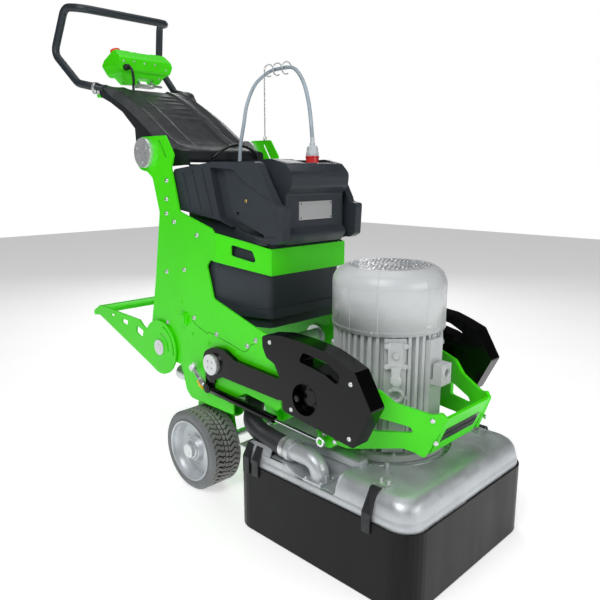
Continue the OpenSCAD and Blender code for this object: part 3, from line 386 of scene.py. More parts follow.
def rounded_head(r, h, lip=1.0):
    return [(0, r), (h - lip, r), (h - lip * 0.3, r - lip * 0.7), (h, r - lip)]


def along(points, spacing):
    """Evenly spaced points on a smooth curve through route points (metres)."""
    pts = [Vector(p) for p in points]
    fine = []
    for i in range(len(pts) - 1):
        a, b, c, d = pts[max(i - 1, 0)], pts[i], pts[i + 1], pts[min(i + 2, len(pts) - 1)]
        for j in range(12):
            t = j / 12
            fine.append(0.5 * (2 * b + (c - a) * t + (2 * a - 5 * b + 4 * c - d) * t * t
                               + (3 * b - a - 3 * c + d) * t ** 3))
    fine.append(pts[-1])
    out, left = [fine[0]], spacing
    for p, q in zip(fine, fine[1:]):
        while (q - p).length > left:
            p = p + (q - p).normalized() * left
            out.append(p)
            left = spacing
        left -= (q - p).length
    out.append(fine[-1])
    return out


def frames(path):
    t = [(path[min(i + 1, len(path) - 1)] - path[max(i - 1, 0)]).normalized()
         for i in range(len(path))]
    side = t[0].cross(Vector((0, 0, 1)) if abs(t[0].z) < 0.9 else Vector((1, 0, 0))).normalized()
    out = []
    for v in t:
        side = (side - v * side.dot(v)).normalized()
        out.append((side, v.cross(side)))
    return out


def tube(bm, path, radius, sides=16, cap=True):
    """radius: metres, or a function of (index along, index around)."""
    rows = []
    for i, (p, (a, b)) in enumerate(zip(path, frames(path))):
        row = []
        for k in range(sides):
            ang = 2 * math.pi * k / sides
            r = radius(i, k) if callable(radius) else radius
            row.append(p + r * (math.cos(ang) * a + math.sin(ang) * b))
        rows.append(row)
    grid(bm, rows, closed_u=True, cap=cap)


def mm(*p):
    return Vector(p) * MM


def rounded(pts, n=6):
    """Closed outline from corners (a, b, radius)."""
    out = []
    k = len(pts)
    for i in range(k):
        a, b, c = (Vector(pts[j % k][:2]) for j in (i - 1, i, i + 1))
        r = pts[i][2]
        if not r:
            out.append(b)
            continue
        u, v = (a - b).normalized(), (c - b).normalized()
        half = u.angle(v) / 2
        reach = r / math.tan(half)
        mid = b + (u + v).normalized() * r / math.sin(half)
        p, q = b + u * reach - mid, b + v * reach - mid
        start = math.atan2(p.y, p.x)
        turn = (math.atan2(q.y, q.x) - start + 3 * math.pi) % (2 * math.pi) - math.pi
        out += [mid + r * Vector((math.cos(start + turn * j / n), math.sin(start + turn * j / n)))
                for j in range(n + 1)]
    return out


def slab(bm, pts, low, high, put):
    """Extrudes a closed outline; put(a, b, h) gives the point in metres."""
    bottom = [bm.verts.new(put(p[0], p[1], low)) for p in pts]
    top = [bm.verts.new(put(p[0], p[1], high)) for p in pts]
    k = len(pts)
    bm.faces.new(bottom[::-1])
    bm.faces.new(top)
    for i in range(k):
        bm.faces.new((bottom[i], bottom[(i + 1) % k], top[(i + 1) % k], top[i]))


def yz(y, z, x):
    return mm(x, y, z)


def xy(x, y, z):
    return mm(x, y, z)


def xz(x, z, y):
    return mm(x, y, z)


# ---- tyres and rims ----
# Axes and centres in the frame, in millimetres
AXLE = (20, 138)         # y, z of the wheels
PIVOT = (274, 1138)      # y, z of the handle's pivot
HEAD_Y = -595            # y of the motor's axis
SCREW_RING = 32          # radius of the screws on the pivot caps


def tyre(side, body):
    s = -1 if side == "left" else 1
    out, wide, r = 284, 125, 138
    x0 = out - wide
    n_lug = 44
    across = [(0, 105), (0, 107), (3, 109), (3, 114), (1, 117), (0, 126), (3, 131), (8, 134.5)]
    tread = [10 + (wide - 20) * k / 21 for k in range(22)]
    profile = [(h, q, None) for h, q in across] + [(h, r, h) for h in tread] \
        + [(wide - h, q, None) for h, q in reversed(across)]
    steps = n_lug * 6
    bm = bmesh.new()
    rows, deep = [], set()
    for i in range(steps):
        row = []
        for j, (h, q, t) in enumerate(profile):
            if t is not None:
                u = abs(t - wide / 2) / (wide / 2 - 10)
                # Zigzag lugs: two kinks each side of the centre
                zig = 0.55 * abs(((u * 1.6) % 1.0) - 0.5) * 2 + (0.5 if t > wide / 2 else 0)
                ph = (i / 6 + zig) % 1.0
                groove = ph < 0.22 or (abs(u - 0.16) < 0.05)
                if u < 0.1:
                    groove = ((i / 6 + 0.3) % 1.0) < 0.2
                if groove and u < 0.98:
                    q -= 4
                    deep.add((i, j))
            a = 2 * math.pi * i / steps
            row.append(mm(s * (x0 + h), AXLE[0] + q * math.cos(a), AXLE[1] + q * math.sin(a)))
        rows.append(row)
    first = len(across)

    # Faces in the grooves take the darker rubber, painted shade in the grooves
    def which(i, j):
        if not first <= j < first + len(tread) - 1:
            return 0
        return 2 if (i, j) in deep else 1
    grid(bm, rows, closed_v=True, mat=which)
    obj = new("tyre_" + side + "_tread", bm, tyre_side, body, 40)
    obj.data.materials.append(tyre_tread)
    obj.data.materials.append(tyre_groove_shade)
    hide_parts("tyre_" + side)


def rim(side, body):
    s = -1 if side == "left" else 1
    axis = (s, 0, 0)
    c = mm(s * 159, *AXLE)
    bm = bmesh.new()
    # (distance from the inner face, radius): dish, bead seats and hub, as one turned skin
    skin = [(0, 14.2), (0, 34), (73, 34), (81, 90), (60, 95), (0, 97), (0, 104.8), (125, 104.8),
            (125.5, 102), (124, 99.5), (119, 98), (112, 97), (108, 93), (92, 91), (86, 88),
            (84, 70), (86, 52), (90, 44), (93, 41), (108, 38), (110.5, 36), (110.8, 33),
            (108, 31), (108, 14.2)]
    rows = [circle(c + Vector(axis) * h * MM, axis, q * MM, 72) for h, q in skin]
    grid(bm, rows, closed_u=True, closed_v=True)
    obj = new("rim_" + side + "_dish", bm, alloy_rim, body, 38)
    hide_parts("rim_" + side)
    cap = bmesh.new()
    turned(cap, c + Vector(axis) * 107 * MM, axis,
           [(0, 30.5), (4, 30.5), (7, 29), (9.5, 25), (11, 18), (11.3, 9)], 48)
    obj = new("hub_cap_" + side, cap, alloy_rim, body, 30)
    bolt = bmesh.new()
    turned(bolt, c + Vector(axis) * 118 * MM, axis, rounded_head(6, 5, 1), 6)
    for k in range(3):
        a = 2 * math.pi * k / 3 + 0.5
        p = c + Vector(axis) * 88 * MM + mm(0, 62 * math.cos(a), 62 * math.sin(a))
        turned(bolt, p - Vector(axis) * 3 * MM, axis, [(0, 2.5), (4, 2.5), (4.6, 2)], 12)
    new("hub_screw_" + side, bolt, steel, body)


# ---- suction hose: a ribbed, woven hose in two halves ----
HOSE = [(-260, -451.8, 292), (-260, -440, 292), (-256, -395, 292), (-248, -345, 292),
        (-239, -292, 296), (-222, -248, 304), (-190, -210, 311), (-156, -178, 315),
        (-122, -146, 316), (-105, -108, 316), (-105, -92.2, 316)]


def hose():
    path = along([mm(*p) for p in HOSE], 0.00125)
    sides = 40

    def radius(i, k):
        turn = (i * 1.25 / 7.5 + k / sides) % 1.0       # one rib every 7.5 mm
        rib = 0.5 - 0.5 * math.cos(2 * math.pi * turn)
        weave = 0.00018 * math.sin(k * 2 * math.pi * 10 / sides) * math.sin(i * 2.1)
        return 0.0282 + 0.0019 * rib + weave
    def at_y(y):
        return min(range(len(path)), key=lambda i: abs(path[i].y - y * MM))
    cut = at_y(-200)
    # The front half runs across the lid, the rear half bends to the dust pipe
    for name, part, a, b, start, end, at in (
            ("hose_front", path[:cut + 1], "head", "arms", path[at_y(-310)], path[cut - 2], 0),
            ("hose_rear", path[cut:], "frame", "arms", path[-6], path[cut + 8], cut)):
        bm = bmesh.new()
        tube(bm, part, lambda i, k, at=at: radius(i + at, k), sides)
        obj = new(name, bm, hose_rubber, None, 60)
        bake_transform(obj)
        if name == "hose_front":
            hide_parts("suction_hose")
    for name, p, q, body in (("hose_clamp_front", path[2], path[18], "head"),
                             ("hose_clamp_rear", path[-20], path[-4], "frame")):
        axis = (q - p).normalized()
        bm = bmesh.new()
        long = (q - p).length / MM
        turned(bm, p, axis, [(0, 30.4), (0, 31.2), (long / 2 - 1, 31.4), (long / 2, 31.1),
                             (long / 2 + 1, 31.4), (long, 31.2), (long, 30.4)], 48)
        side = axis.cross(Vector((0, 0, 1))).normalized()
        turned(bm, p.lerp(q, 0.5) + side * 0.027 + Vector((0, 0, 0.017)), axis.cross(side),
               [(-9, 3.4), (9, 3.4), (9.5, 3)], 8)
        new(name, bm, zinc, body)


# ---- handle cover: a ribbed moulded shell ----
def handle_cover():
    top = [(642, 1398.5), (600, 1386), (560, 1371), (470, 1329), (370, 1271), (270, 1205),
           (215, 1175), (190, 1164), (160, 1156), (140, 1151)]
    low = [(642, 1366), (600, 1346), (480, 1288), (398, 1224), (414, 1192), (372, 1143),
           (330, 1094), (222, 1090), (122, 1098)]
    half = [(642, 216), (612, 213), (560, 200), (330, 199), (200, 199), (160, 183), (122, 168)]

    def line(table, y):
        for (a, p), (b, q) in zip(table, table[1:]):
            if b <= y <= a:
                t = (y - b) / (a - b)
                return q + (p - q) * t
        return table[0][1] if y > table[0][0] else table[-1][1]

    def lift(u, y):
        """Height of the moulded relief at u (-1..1 across) and y."""
        a = abs(u)
        body = 0.0
        wrap = min(1, max(0, (y - 560) / 50))          # the top corners wrap the bar's ends
        if a > 0.78:                                   # outer chamfer
            body += (26 * wrap - 20) * min(1, (a - 0.78) / 0.2) ** 1.1
        ridge = max(0, 1 - abs(a - 0.78) / 0.035) * 2.5
        mid = 0.42 if u < 0 else 0.5
        if a < mid:                                    # sunken middle panel
            edge_in = min(1, (mid - a) / 0.05)
            body -= 7 * edge_in
        else:
            body -= 3.2 * math.sin(math.pi * min(1, max(0, (a - mid) / (0.78 - mid))))
        fade = min(1, max(0, (y - 168) / 40))
        ribs = 0.0
        if 372 < y < 585 and -0.2 < u < mid:
            phase = ((y - 372) / 36) % 1.0
            ribs = 3.4 * (1 - phase) * min(1, (u + 0.2) / 0.35)
        return (body + ridge) * (0.35 + 0.65 * fade) + ribs

    bm = bmesh.new()
    ys = [642 - 502 * i / 150 for i in range(151)]
    rows = []
    smooth_top = along([mm(0, y, z) for y, z in top], 0.002)

    def top_at(y):
        best = min(range(len(smooth_top) - 1),
                   key=lambda i: abs(smooth_top[i].y - y * MM))
        return smooth_top[best].z / MM
    cols = 84
    for i, y in enumerate(ys):
        h, zt, zl = line(half, y), top_at(y), line(low, y)
        row = []
        for k in range(6):                             # left wall, bottom up
            t = k / 6
            row.append(mm(-h + 1.5 * (1 - t), y, zl + (zt - 24 - zl) * t))
        for k in range(cols + 1):
            u = -1 + 2 * k / cols
            # Rounded shoulder at the long edges
            x = h * math.sin(u * math.pi / 2 * 0.999) if abs(u) > 0.93 else h * u * 1.06
            x = max(-h, min(h, x))
            row.append(mm(x, y, zt + lift(x / h, y)))
        for k in range(6):
            t = 1 - (k + 1) / 6
            row.append(mm(h - 1.5 * (1 - t), y, zl + (zt - 24 - zl) * t))
        rows.append(row)
    # Rolled front edge and the front wall
    last = rows[-1]
    zt = top_at(140)
    for dy, dz in ((-6, -2), (-12, -6), (-16, -12), (-18, -20), (-18.5, -32), (-18.5, -46)):
        y = 140 + dy
        h = line(half, y)
        row = []
        for p in last:
            z = p.z / MM
            x = p.x / MM * h / line(half, 140)
            row.append(mm(x, y, min(z, max(zt + dz, 1098 if z < zt - 20 else zt + dz))))
        rows.append(row)
    grid(bm, rows)
    # Tabs that hang below the front wall at both sides
    obj = new("handle_cover_shell", bm, cover_plastic, "handle", 40)
    thick = obj.modifiers.new("wall", "SOLIDIFY")
    thick.thickness, thick.offset = 0.004, -1
    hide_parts("handle_cover")
    tabs = bmesh.new()
    for s in (-1, 1):
        slab(tabs, [(s * x, z) for x, z in rounded([(98, 1100, 0), (164, 1100, 0), (164, 1072, 3),
                                                   (110, 1068, 5)], 4)], 123, 129, xz)
    new("handle_cover_tabs", tabs, cover_plastic, "handle", 30, 1)


# ---- small hardware ----
def screws(name, spots, axis, r, h, look, body, hexed=False, washer=0):
    bm = bmesh.new()
    for p in spots:
        q = mm(*p)
        a = Vector(axis)
        if washer:
            turned(bm, q, a, [(0, washer), (0.8, washer), (1.1, washer - 0.3)], 24)
        turned(bm, q, a, rounded_head(r, h, min(1.2, h * 0.4)), 6 if hexed else 24,
               random.random())
        if not hexed:                                   # socket
            turned(bm, q + a * (h - 0.1) * MM, a, [(0, r * 0.5), (0.25, r * 0.5)], 6)
    new(name, bm, look, body)


PLATE_BOLTS = [(152, 1046), (157, 985), (161, 937), (118, 911), (-6, 875), (70, 755), (174, 737),
               (182, 556), (24, 598), (-95, 563), (-245, 554), (-284, 579)]


def plate_hardware():
    for s, tag in ((-1, "left"), (1, "right")):
        bm = bmesh.new()
        for y, z in PLATE_BOLTS:
            c, a = mm(s * 238, y, z), Vector((s, 0, 0))
            turned(bm, c, a, [(0, 8.2), (1.4, 8.2), (1.7, 7.9)], 28)
            turned(bm, c + a * 1.7 * MM, a, [(0, 6.4), (2.2, 6.3), (4, 5.2), (4.8, 3.8)], 24)
            turned(bm, c + a * 6.3 * MM, a, [(0, 2.6), (0.2, 2.6)], 6)
        obj = new("plate_bolts_" + tag, bm, steel, "frame")
        if s < 0:
            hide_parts("frame_bolts")
        spots = [(s * 238, y, z) for y, z in ((-50, 525), (-194, 519), (-259, 515), (96, 640),
                                              (40, 540))]
        screws("blind_rivets_" + tag, spots, (s, 0, 0), 5.5, 3, green, "frame")
        # Joint line between the upper and lower plate: a thin raised bead of paint, in a darker
        # green that is painted shade in the joint
        seam = bmesh.new()
        route = [mm(s * 238.1, y, z) for y, z in ((36, 588), (14, 574), (-24, 563), (-44, 556),
                                                 (-56, 562), (-122, 551), (-180, 541), (-214, 533),
                                                 (-238, 535), (-262, 560), (-276, 566))]
        tube(seam, along(route, 0.004), 0.0009, 6)
        new("plate_seam_" + tag, seam, paint("seam_painted_shade_" + tag, srgb(40, 150, 20)),
                    "frame", 60)


def motor_details():
    y0 = HEAD_Y
    bm = bmesh.new()
    # Pads and lugs between the fins, all round the casting
    for a in (-136, -90, -46, 46, 90, 136):
        ang = math.radians(a)
        d = Vector((math.cos(ang), math.sin(ang), 0))
        side = Vector((-d.y, d.x, 0))
        wide, out = (30, 160) if a in (-136, 46) else (11, 158)

        def put(p, q, r, d=d, side=side):
            return mm(0, y0, 0) + d * r * MM + side * p * MM + mm(0, 0, q)
        slab(bm, rounded([(-wide, 316, 3), (wide, 316, 3), (wide, 640, 3), (-wide, 640, 3)], 3),
             130, out, put)
        for q in (350, 470, 590):
            turned(bm, put(0, q, out - 0.5), d, [(0, 8), (5, 8), (6.5, 6.5)], 20)
    # Cast hook, clamps and webs on the pad that faces front left
    turn = math.radians(-136)
    d = Vector((math.cos(turn), math.sin(turn), 0))
    side = Vector((-d.y, d.x, 0))

    def pad(p, q, r):
        return mm(0, y0, q) + d * r * MM + side * p * MM
    slab(bm, rounded([(-22, 560, 5), (22, 560, 5), (22, 632, 7), (-22, 632, 7)], 4), 158, 172, pad)
    slab(bm, rounded([(-9, 500, 4), (9, 500, 4), (13, 566, 5), (-13, 566, 5)], 4), 158, 178, pad)
    turned(bm, pad(0, 528, 170), d, [(0, 17), (9, 16), (11, 13), (11, 8)], 28)
    turned(bm, pad(0, 596, 170), d, [(0, 10), (6, 10), (8, 8)], 24)
    hook = [pad(20 * math.cos(a), 500 - 14 + 17 * math.sin(a), 172)
            for a in (math.pi * k / 14 for k in range(-11, 12))]
    tube(bm, hook, 0.0052, 12)
    for p in (-1, 1):
        turned(bm, pad(p * 25, 622, 164), d, [(0, 8), (8, 8), (10, 6)], 18)
        turned(bm, pad(p * 25, 566, 164), d, [(0, 8), (8, 8), (10, 6)], 18)
        slab(bm, rounded([(p * 25, 350, 2), (p * 31, 350, 2), (p * 31, 480, 2), (p * 25, 480, 2)],
                         3), 156, 166, pad)
        for q in (360, 420, 476):
            turned(bm, pad(p * 28, q, 160), d, [(0, 6.5), (7, 6.5), (8.5, 5)], 16)
    slab(bm, rounded([(-14, 340, 4), (14, 340, 4), (14, 462, 4), (-14, 462, 4)], 4), 158, 165, pad)
    obj = new("motor_pads", bm, motor_grey, "head", 34, 0.8)
    # Lifting ring on the front lug
    ring = bmesh.new()
    rows = []
    for i in range(48):
        a = 2 * math.pi * i / 48
        c = mm(15.5 * math.cos(a), -795, 540 + 15.5 * math.sin(a))
        out = Vector((math.cos(a), 0, math.sin(a)))
        rows.append([c + (out * math.cos(b) + Vector((0, 1, 0)) * math.sin(b)) * 0.0035
                     for b in (2 * math.pi * k / 12 for k in range(12))])
    grid(ring, rows, closed_u=True, closed_v=True)
    new("lifting_ring", ring, motor_grey, "head", 60)
    # Flange bolts
    spots = []
    for k in range(12):
        a = 2 * math.pi * (k + 0.5) / 12
        spots.append((166 * math.cos(a), y0 + 166 * math.sin(a), 312))
    screws("flange_bolts", spots, (0, 0, 1), 6.5, 6, zinc, "head", True, 8)
    # Cowl: seams, cap screws and the perforated top, its holes drawn as darker discs of painted
    # shade
    seams = bmesh.new()
    shape = [(650, 162.7), (700, 162.7), (769, 162.7), (784, 160.2), (799, 152.2), (811, 138.2),
             (817.6, 125)]
    for a in (-104, -64, -24, 26, 76, 126, 176, -154):
        ang = math.radians(a)
        tube(seams, along([mm(r * math.cos(ang), y0 + r * math.sin(ang), z) for z, r in shape],
                          0.004), 0.0007, 6)
    for z, r in ((769, 162.7), (655, 162.8)):
        rows = []
        for i in range(96):
            a = 2 * math.pi * i / 96
            o = Vector((math.cos(a), math.sin(a), 0))
            rows.append([mm(0, y0, z) + o * r * MM + (o * math.cos(b) + Vector((0, 0, 1))
                         * math.sin(b)) * 0.0006 for b in (math.pi * k / 3 for k in range(6))])
        grid(seams, rows, closed_u=True, closed_v=True)
    new("cowl_seams", seams, cowl_grey, "head", 60)
    # Darker grey discs stand for the holes: painted shade
    holes = bmesh.new()
    for ring_r, count in ((20, 8), (32, 14), (44, 20), (56, 26), (68, 32), (80, 38), (92, 44),
                          (104, 50), (114, 56)):
        for k in range(count):
            a = 2 * math.pi * (k + 0.5 * (ring_r % 24 == 20)) / count
            z = 820 if ring_r < 60 else 820 - (ring_r - 60) * 0.03
            turned(holes, mm(ring_r * math.cos(a), y0 + ring_r * math.sin(a), z - 0.4),
                   (0, 0, 1), [(0, 3.6), (0.7, 3.6)], 8)
    new("cowl_perforation", holes, paint("perforation_painted_shade", srgb(168, 171, 175)),
                "head")
    mark = bmesh.new()
    slab(mark, rounded([(-9, 664, 2), (9, 664, 2), (9, 673, 2), (-9, 673, 2)], 3), 161.8, 163.3,
         lambda p, q, r: mm(0, y0, q) + Vector((math.cos(-1.78), math.sin(-1.78), 0)) * r * MM
         + Vector((-math.sin(-1.78), math.cos(-1.78), 0)) * p * MM)
    new("cowl_mark", mark, cowl_grey, "head", 30, 0.4)
    spots = []
    for k in range(4):
        a = math.radians(20 + 90 * k)
        spots.append((162.4 * math.cos(a), y0 + 162.4 * math.sin(a), 652))
    bm = bmesh.new()
    for p in spots:
        d = Vector((p[0], p[1] - y0, 0)).normalized()
        turned(bm, mm(*p), d, rounded_head(4.5, 3, 1), 16)
    new("cowl_screws", bm, zinc, "head")


def head_details():
    # Screws on the weights, one in each counterbore
    for s, tag in ((-1, "left"), (1, "right")):
        body = "flip_weight_" + tag
        bm = bmesh.new()
        for y, z in ((-432, 618), (-722, 568), (-720, 425), (-515, 446)):
            turned(bm, mm(s * 317, y, z), (s, 0, 0), [(0, 6.6), (2.6, 6.4), (3.4, 5.4),
                                                     (3.4, 3.2), (1.8, 3.1), (1.8, 0.5)], 24)
        new("weight_screws_" + tag, bm, steel, body)
        # Raised ring round the window
        ring = bmesh.new()
        c = mm(s * 320, -565, 487)
        rows = [circle(c + Vector((s, 0, 0)) * h * MM, (s, 0, 0), r * MM, 64)
                for h, r in ((-1, 43.2), (0.6, 43.4), (1, 44.2), (0.6, 46), (-1, 46.4))]
        grid(ring, rows, closed_u=True, closed_v=True)
        new("window_ring_" + tag, ring, black_gloss, body, 50)
        # Knurled lock knob
        knob = bmesh.new()
        c = mm(s * 310, -532, 481)
        rows = []
        for h, r in ((0, 8.2), (1, 8.8), (5, 8.8), (6.5, 8), (7, 6), (7.2, 2)):
            rows.append([c + mm(s * h, (r + (0.5 if k % 2 else 0)) * math.cos(k * math.pi / 20),
                                (r + (0.5 if k % 2 else 0)) * math.sin(k * math.pi / 20))
                         for k in range(40)])
        grid(knob, rows, closed_u=True, cap=True)
        new("lock_knob_" + tag, knob, box_plastic, "lock_" + tag, 30)
    # Bolts on the yoke
    bm = bmesh.new()
    for s in (-1, 1):
        for y, z in ((-560, 505), (-560, 360), (-600, 352), (-520, 450)):
            turned(bm, mm(s * 232, y, z), (s, 0, 0), rounded_head(7, 5, 1.5), 24)
        for t, z in ((0.12, 500), (0.12, 372), (0.86, 452), (0.9, 392)):
            p = Vector((s * (232 - 119 * t), -640 - 232 * t, 0))
            turned(bm, mm(p.x, p.y, z), Vector((s * 232, -119, 0)).normalized(),
                   rounded_head(6.5, 5, 1.5), 24)
    new("yoke_bolts", bm, steel, "head")
    # Lamp: a row of small lenses on the glass
    bm = bmesh.new()
    face = Vector((0, -40, -17)).normalized()
    for k in range(12):
        c = mm(-77 + 14 * k, -846.4, 399)
        turned(bm, c, face, [(0, 4.2), (0.5, 4), (0.9, 2.6)], 20)
    new("lamp_lenses", bm, iron, "head")
    # Elbow foot bolts
    spots = [(x, y, 244) for x in (-287, -234) for y in (-596, -541)]
    screws("elbow_bolts", spots, (0, 0, 1), 5, 5, zinc, "head", True, 6)
    # Machined seat of the motor's flange on the lid
    ledge = bmesh.new()
    rows = [circle(mm(0, HEAD_Y, z), (0, 0, 1), r * MM, 96)
            for z, r in ((291, 196), (293, 196), (294, 195), (294, 188), (292.5, 186),
                         (292.5, 177), (291, 176))]
    grid(ledge, rows, closed_u=True, closed_v=True)
    new("flange_seat", ledge, steel_face, "head", 30)


def handle_details():
    # Screw heads on the pivot caps
    for s, tag in ((-1, "left"), (1, "right")):
        bm = bmesh.new()
        low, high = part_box("handle_pivots")
        face = high.x / MM if s > 0 else low.x / MM
        for a in (30, 150, 270):
            r = math.radians(a)
            turned(bm, mm(face - s * 5, PIVOT[0] + SCREW_RING * math.cos(r),
                          PIVOT[1] + SCREW_RING * math.sin(r)), (s, 0, 0),
                   [(0, 4.6), (2, 4.4), (2.4, 3.6), (2.4, 2), (1, 1.9), (1, 0.4)], 20)
        new("pivot_screws_" + tag, bm, zinc, "frame")
    # Control box: screws and cable gland
    bm = bmesh.new()
    for x, z in ((-96, 1494), (-50, 1496), (-4, 1493), (44, 1494), (94, 1478), (-98, 1466),
                 (62, 1440)):
        turned(bm, mm(x, 624.6, z), (0, -1, 0), [(0, 3.8), (1.6, 3.6), (2.2, 2.6)], 18)
    new("box_screws", bm, zinc, "control_panel")
    gland = bmesh.new()
    c = mm(-90, 629, 1470)
    turned(gland, c, (0, -1, 0), [(0, 13), (5, 13)], 6)
    turned(gland, c + mm(0, -5, 0), (0, -1, 0), [(0, 12), (9, 12), (10, 11)], 24)
    turned(gland, c + mm(0, -15, 0), (0, -1, 0), [(0, 12.2), (9, 11), (13, 8.5), (15, 6.2)], 24)
    new("cable_gland", gland, box_plastic, "control_panel", 36)


def clamps():
    """A turned collar round each end of the bar, with the two bolts that hold it."""
    bm = bmesh.new()
    for s in (-1, 1):
        start, ahead = mm(s * 198, 600, 1378), Vector((s * 26, 152, 32)).normalized()
        turned(bm, start, ahead, [(43, 15.2), (43, 18.4), (44, 19), (54, 19), (55, 18.4),
                                  (55, 15.2)], 40)
        for h in (12, 32):
            turned(bm, start + ahead * h * MM + mm(s * 16, 0, -16), (s, 0, 0),
                   [(0, 9), (3, 9), (3.2, 7), (8, 7), (9.5, 6)], 6)
    obj = new("bar_collars", bm, zinc, "handle")
    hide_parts("handlebar_clamps")


def cables():
    """The two short control cables; the longer one crosses the handle's pivot."""
    panel = [(-90, 603.8, 1470), (-90, 596, 1470), (-89, 582, 1458), (-87, 578, 1440),
             (-84, 580, 1415), (-84, 584, 1398), (-84, 584, 1384)]
    loop = [(-70, 121.8, 1122), (-70, 115, 1122), (-50, 104, 1142), (-10, 102, 1160),
            (30, 102, 1166), (70, 102, 1160), (110, 104, 1142), (130, 115, 1122),
            (130, 121.8, 1122)]
    bm = bmesh.new()
    path = along([mm(*p) for p in panel], 0.003)
    tube(bm, path, 0.005, 16)
    obj = new("panel_cable", bm, cable_black, None, 60)
    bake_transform(obj)
    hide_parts("control_cables")
    bm = bmesh.new()
    tube(bm, along([mm(*p) for p in loop], 0.004), 0.005, 16)
    new("loop_cable", bm, cable_black, "handle", 60)
    lead = [(60, -232, 1158.1), (60, -232, 1170), (64, -222, 1230), (80, -194, 1300),
            (110, -142, 1366), (156, -62, 1416), (204, 20, 1438), (213, 84, 1440),
            (210, 136, 1432), (172, 164, 1390), (110, 140, 1316), (56, 98, 1240), (24, 79, 1170),
            (14, 74, 1110), (14, 74, 1081)]
    bm = bmesh.new()
    path = along([mm(*p) for p in lead], 0.0035)
    tube(bm, path, lambda i, k: 0.0064 + 0.00008 * math.sin(i * 1.3), 20)
    obj = new("mains_lead", bm, cable_grey, "frame", 60)
    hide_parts("power_lead")


def boom():
    """The wire boom: a rod with three open hooks round the lead."""
    bm = bmesh.new()
    turned(bm, mm(235, 184, 1192), (0, 0, 1), [(0, 6), (12, 6), (14, 5), (15, 3)], 24)
    path = [mm(235, 184, z) for z in range(1200, 1416, 12)]
    path += [mm(235, 184 - 24 * (1 - math.cos(a)), 1416 + 24 * math.sin(a))
             for a in (math.pi / 2 * k / 8 for k in range(9))]
    path += [mm(235, y, 1440) for y in range(150, 20, -10)]
    tube(bm, path, 0.0023, 12)
    for y in (132, 86, 40):
        hook = [mm(213 + 21 * math.cos(a), y - 3 + a * 2.2, 1439 + 21 * math.sin(a))
                for a in (math.radians(12 + 10 * k) for k in range(31))]
        tube(bm, hook, 0.0026, 12)
    obj = new("lead_hooks", bm, steel_y, "frame", 60)
    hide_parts("cable_boom")


def lid():
    """The head's lid: a cast shell with a rolled shoulder and a bay for the elbow and hose."""
    def ring(inset, z, r):
        pts = rounded([(-299 + inset, -899 + inset, r), (299 - inset, -899 + inset, r),
                       (299 - inset, -256 - inset, r), (-299 + inset, -256 - inset, r)], 14)
        return [mm(p.x, p.y, z) for p in pts]
    outer = [(0, 216, 62), (0, 219, 62), (0.3, 226, 62), (1.2, 234, 61), (3.2, 238, 60),
             (3.8, 243, 60), (5, 252, 60), (8, 264, 58), (12.5, 274, 56), (19, 282.5, 54),
             (27, 288.5, 52), (36, 291.6, 50), (46, 292, 46)]
    inner = [(46, 286, 46), (30, 284, 48), (16, 272, 52), (9, 250, 55), (6, 228, 56), (6, 216, 56)]
    bm = bmesh.new()
    rows = [ring(*q) for q in outer] + [ring(*q) for q in inner]
    vs = grid(bm, rows, closed_u=True, closed_v=False)
    bm.faces.new(vs[len(outer) - 1])
    bm.faces.new(vs[len(outer)])
    # The flat top and underside replace the join between the two rings
    for f in [f for f in bm.faces if len(f.verts) == 4
              and all(v in vs[len(outer) - 1] + vs[len(outer)] for v in f.verts)]:
        bm.faces.remove(f)
    k = len(vs[0])
    for j in range(k):
        bm.faces.new((vs[-1][j], vs[-1][(j + 1) % k], vs[0][(j + 1) % k], vs[0][j]))
    obj = new("lid_shell", bm, alloy_lid, None, 40)

    def cut(name, outline, low, high, put):
        c = bmesh.new()
        slab(c, outline, low, high, put)
        tool = new(name, c, alloy_lid, None)
        mod = obj.modifiers.new("cut", "BOOLEAN")
        mod.operation, mod.solver, mod.object = "DIFFERENCE", "EXACT", tool
        return tool
    tools = [cut("bay", rounded([(-655, 330, 0), (-655, 236, 10), (-500, 236, 24),
                                 (-455, 258, 24), (-400, 258, 0), (-400, 330, 0)], 8),
                 -330, -206, yz),
             cut("channel", rounded([(-280, -401.5, 0), (-206, -401.5, 0), (-206, -330, 10),
                                     (-141, -200, 0), (-280, -200, 0)], 6), 258, 330, xy)]
    bpy.context.view_layer.update()
    done = bpy.data.meshes.new_from_object(obj.evaluated_get(
        bpy.context.evaluated_depsgraph_get()))
    obj.modifiers.clear()
    obj.data = done
    for t in tools:
        bpy.data.objects.remove(t)
    smooth_by_angle(obj, 30)
    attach(obj, "head")
    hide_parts("head_cover")
    # Bay floor, walls and the ridge beside it, as one sheet
    bm = bmesh.new()
    rows = []
    floor = [(-655, 291), (-655, 262), (-655, 246), (-651, 239), (-644, 236), (-600, 236),
             (-545, 236), (-512, 236), (-497, 238.5), (-478, 247), (-462, 255), (-450, 258),
             (-425, 258), (-402, 258), (-330, 258), (-262, 258)]
    def flare(y):
        """The wall opens out at the rear, where the hose leaves."""
        return max(0, (y + 330) * 0.5)
    for x in (-294, -280, -262, -240, -222, -213, -208, -206):
        row = []
        for y, z in floor:
            if x > -214 and y > -655:
                z += (x + 214) ** 2 * 0.09
            if x < -280:
                z = min(z, 262)
            row.append(mm(x + (flare(y) if x > -214 else 0), y, z))
        rows.append(row)
    rows.append([mm(-206 + flare(y), y, 291.5) for y, z in floor])
    grid(bm, rows)
    pan = new("lid_bay", bm, alloy_lid, "head", 45)
    solid = pan.modifiers.new("sheet", "SOLIDIFY")
    solid.thickness, solid.offset = 0.004, 1
    ridge = bmesh.new()
    slab(ridge, rounded([(-216, -676, 6), (-178, -676, 10), (-178, -466, 10), (-216, -466, 6)],
                        5), 284, 311, xy)
    obj = new("lid_ridge", ridge, alloy_lid, "head", 34, 5)


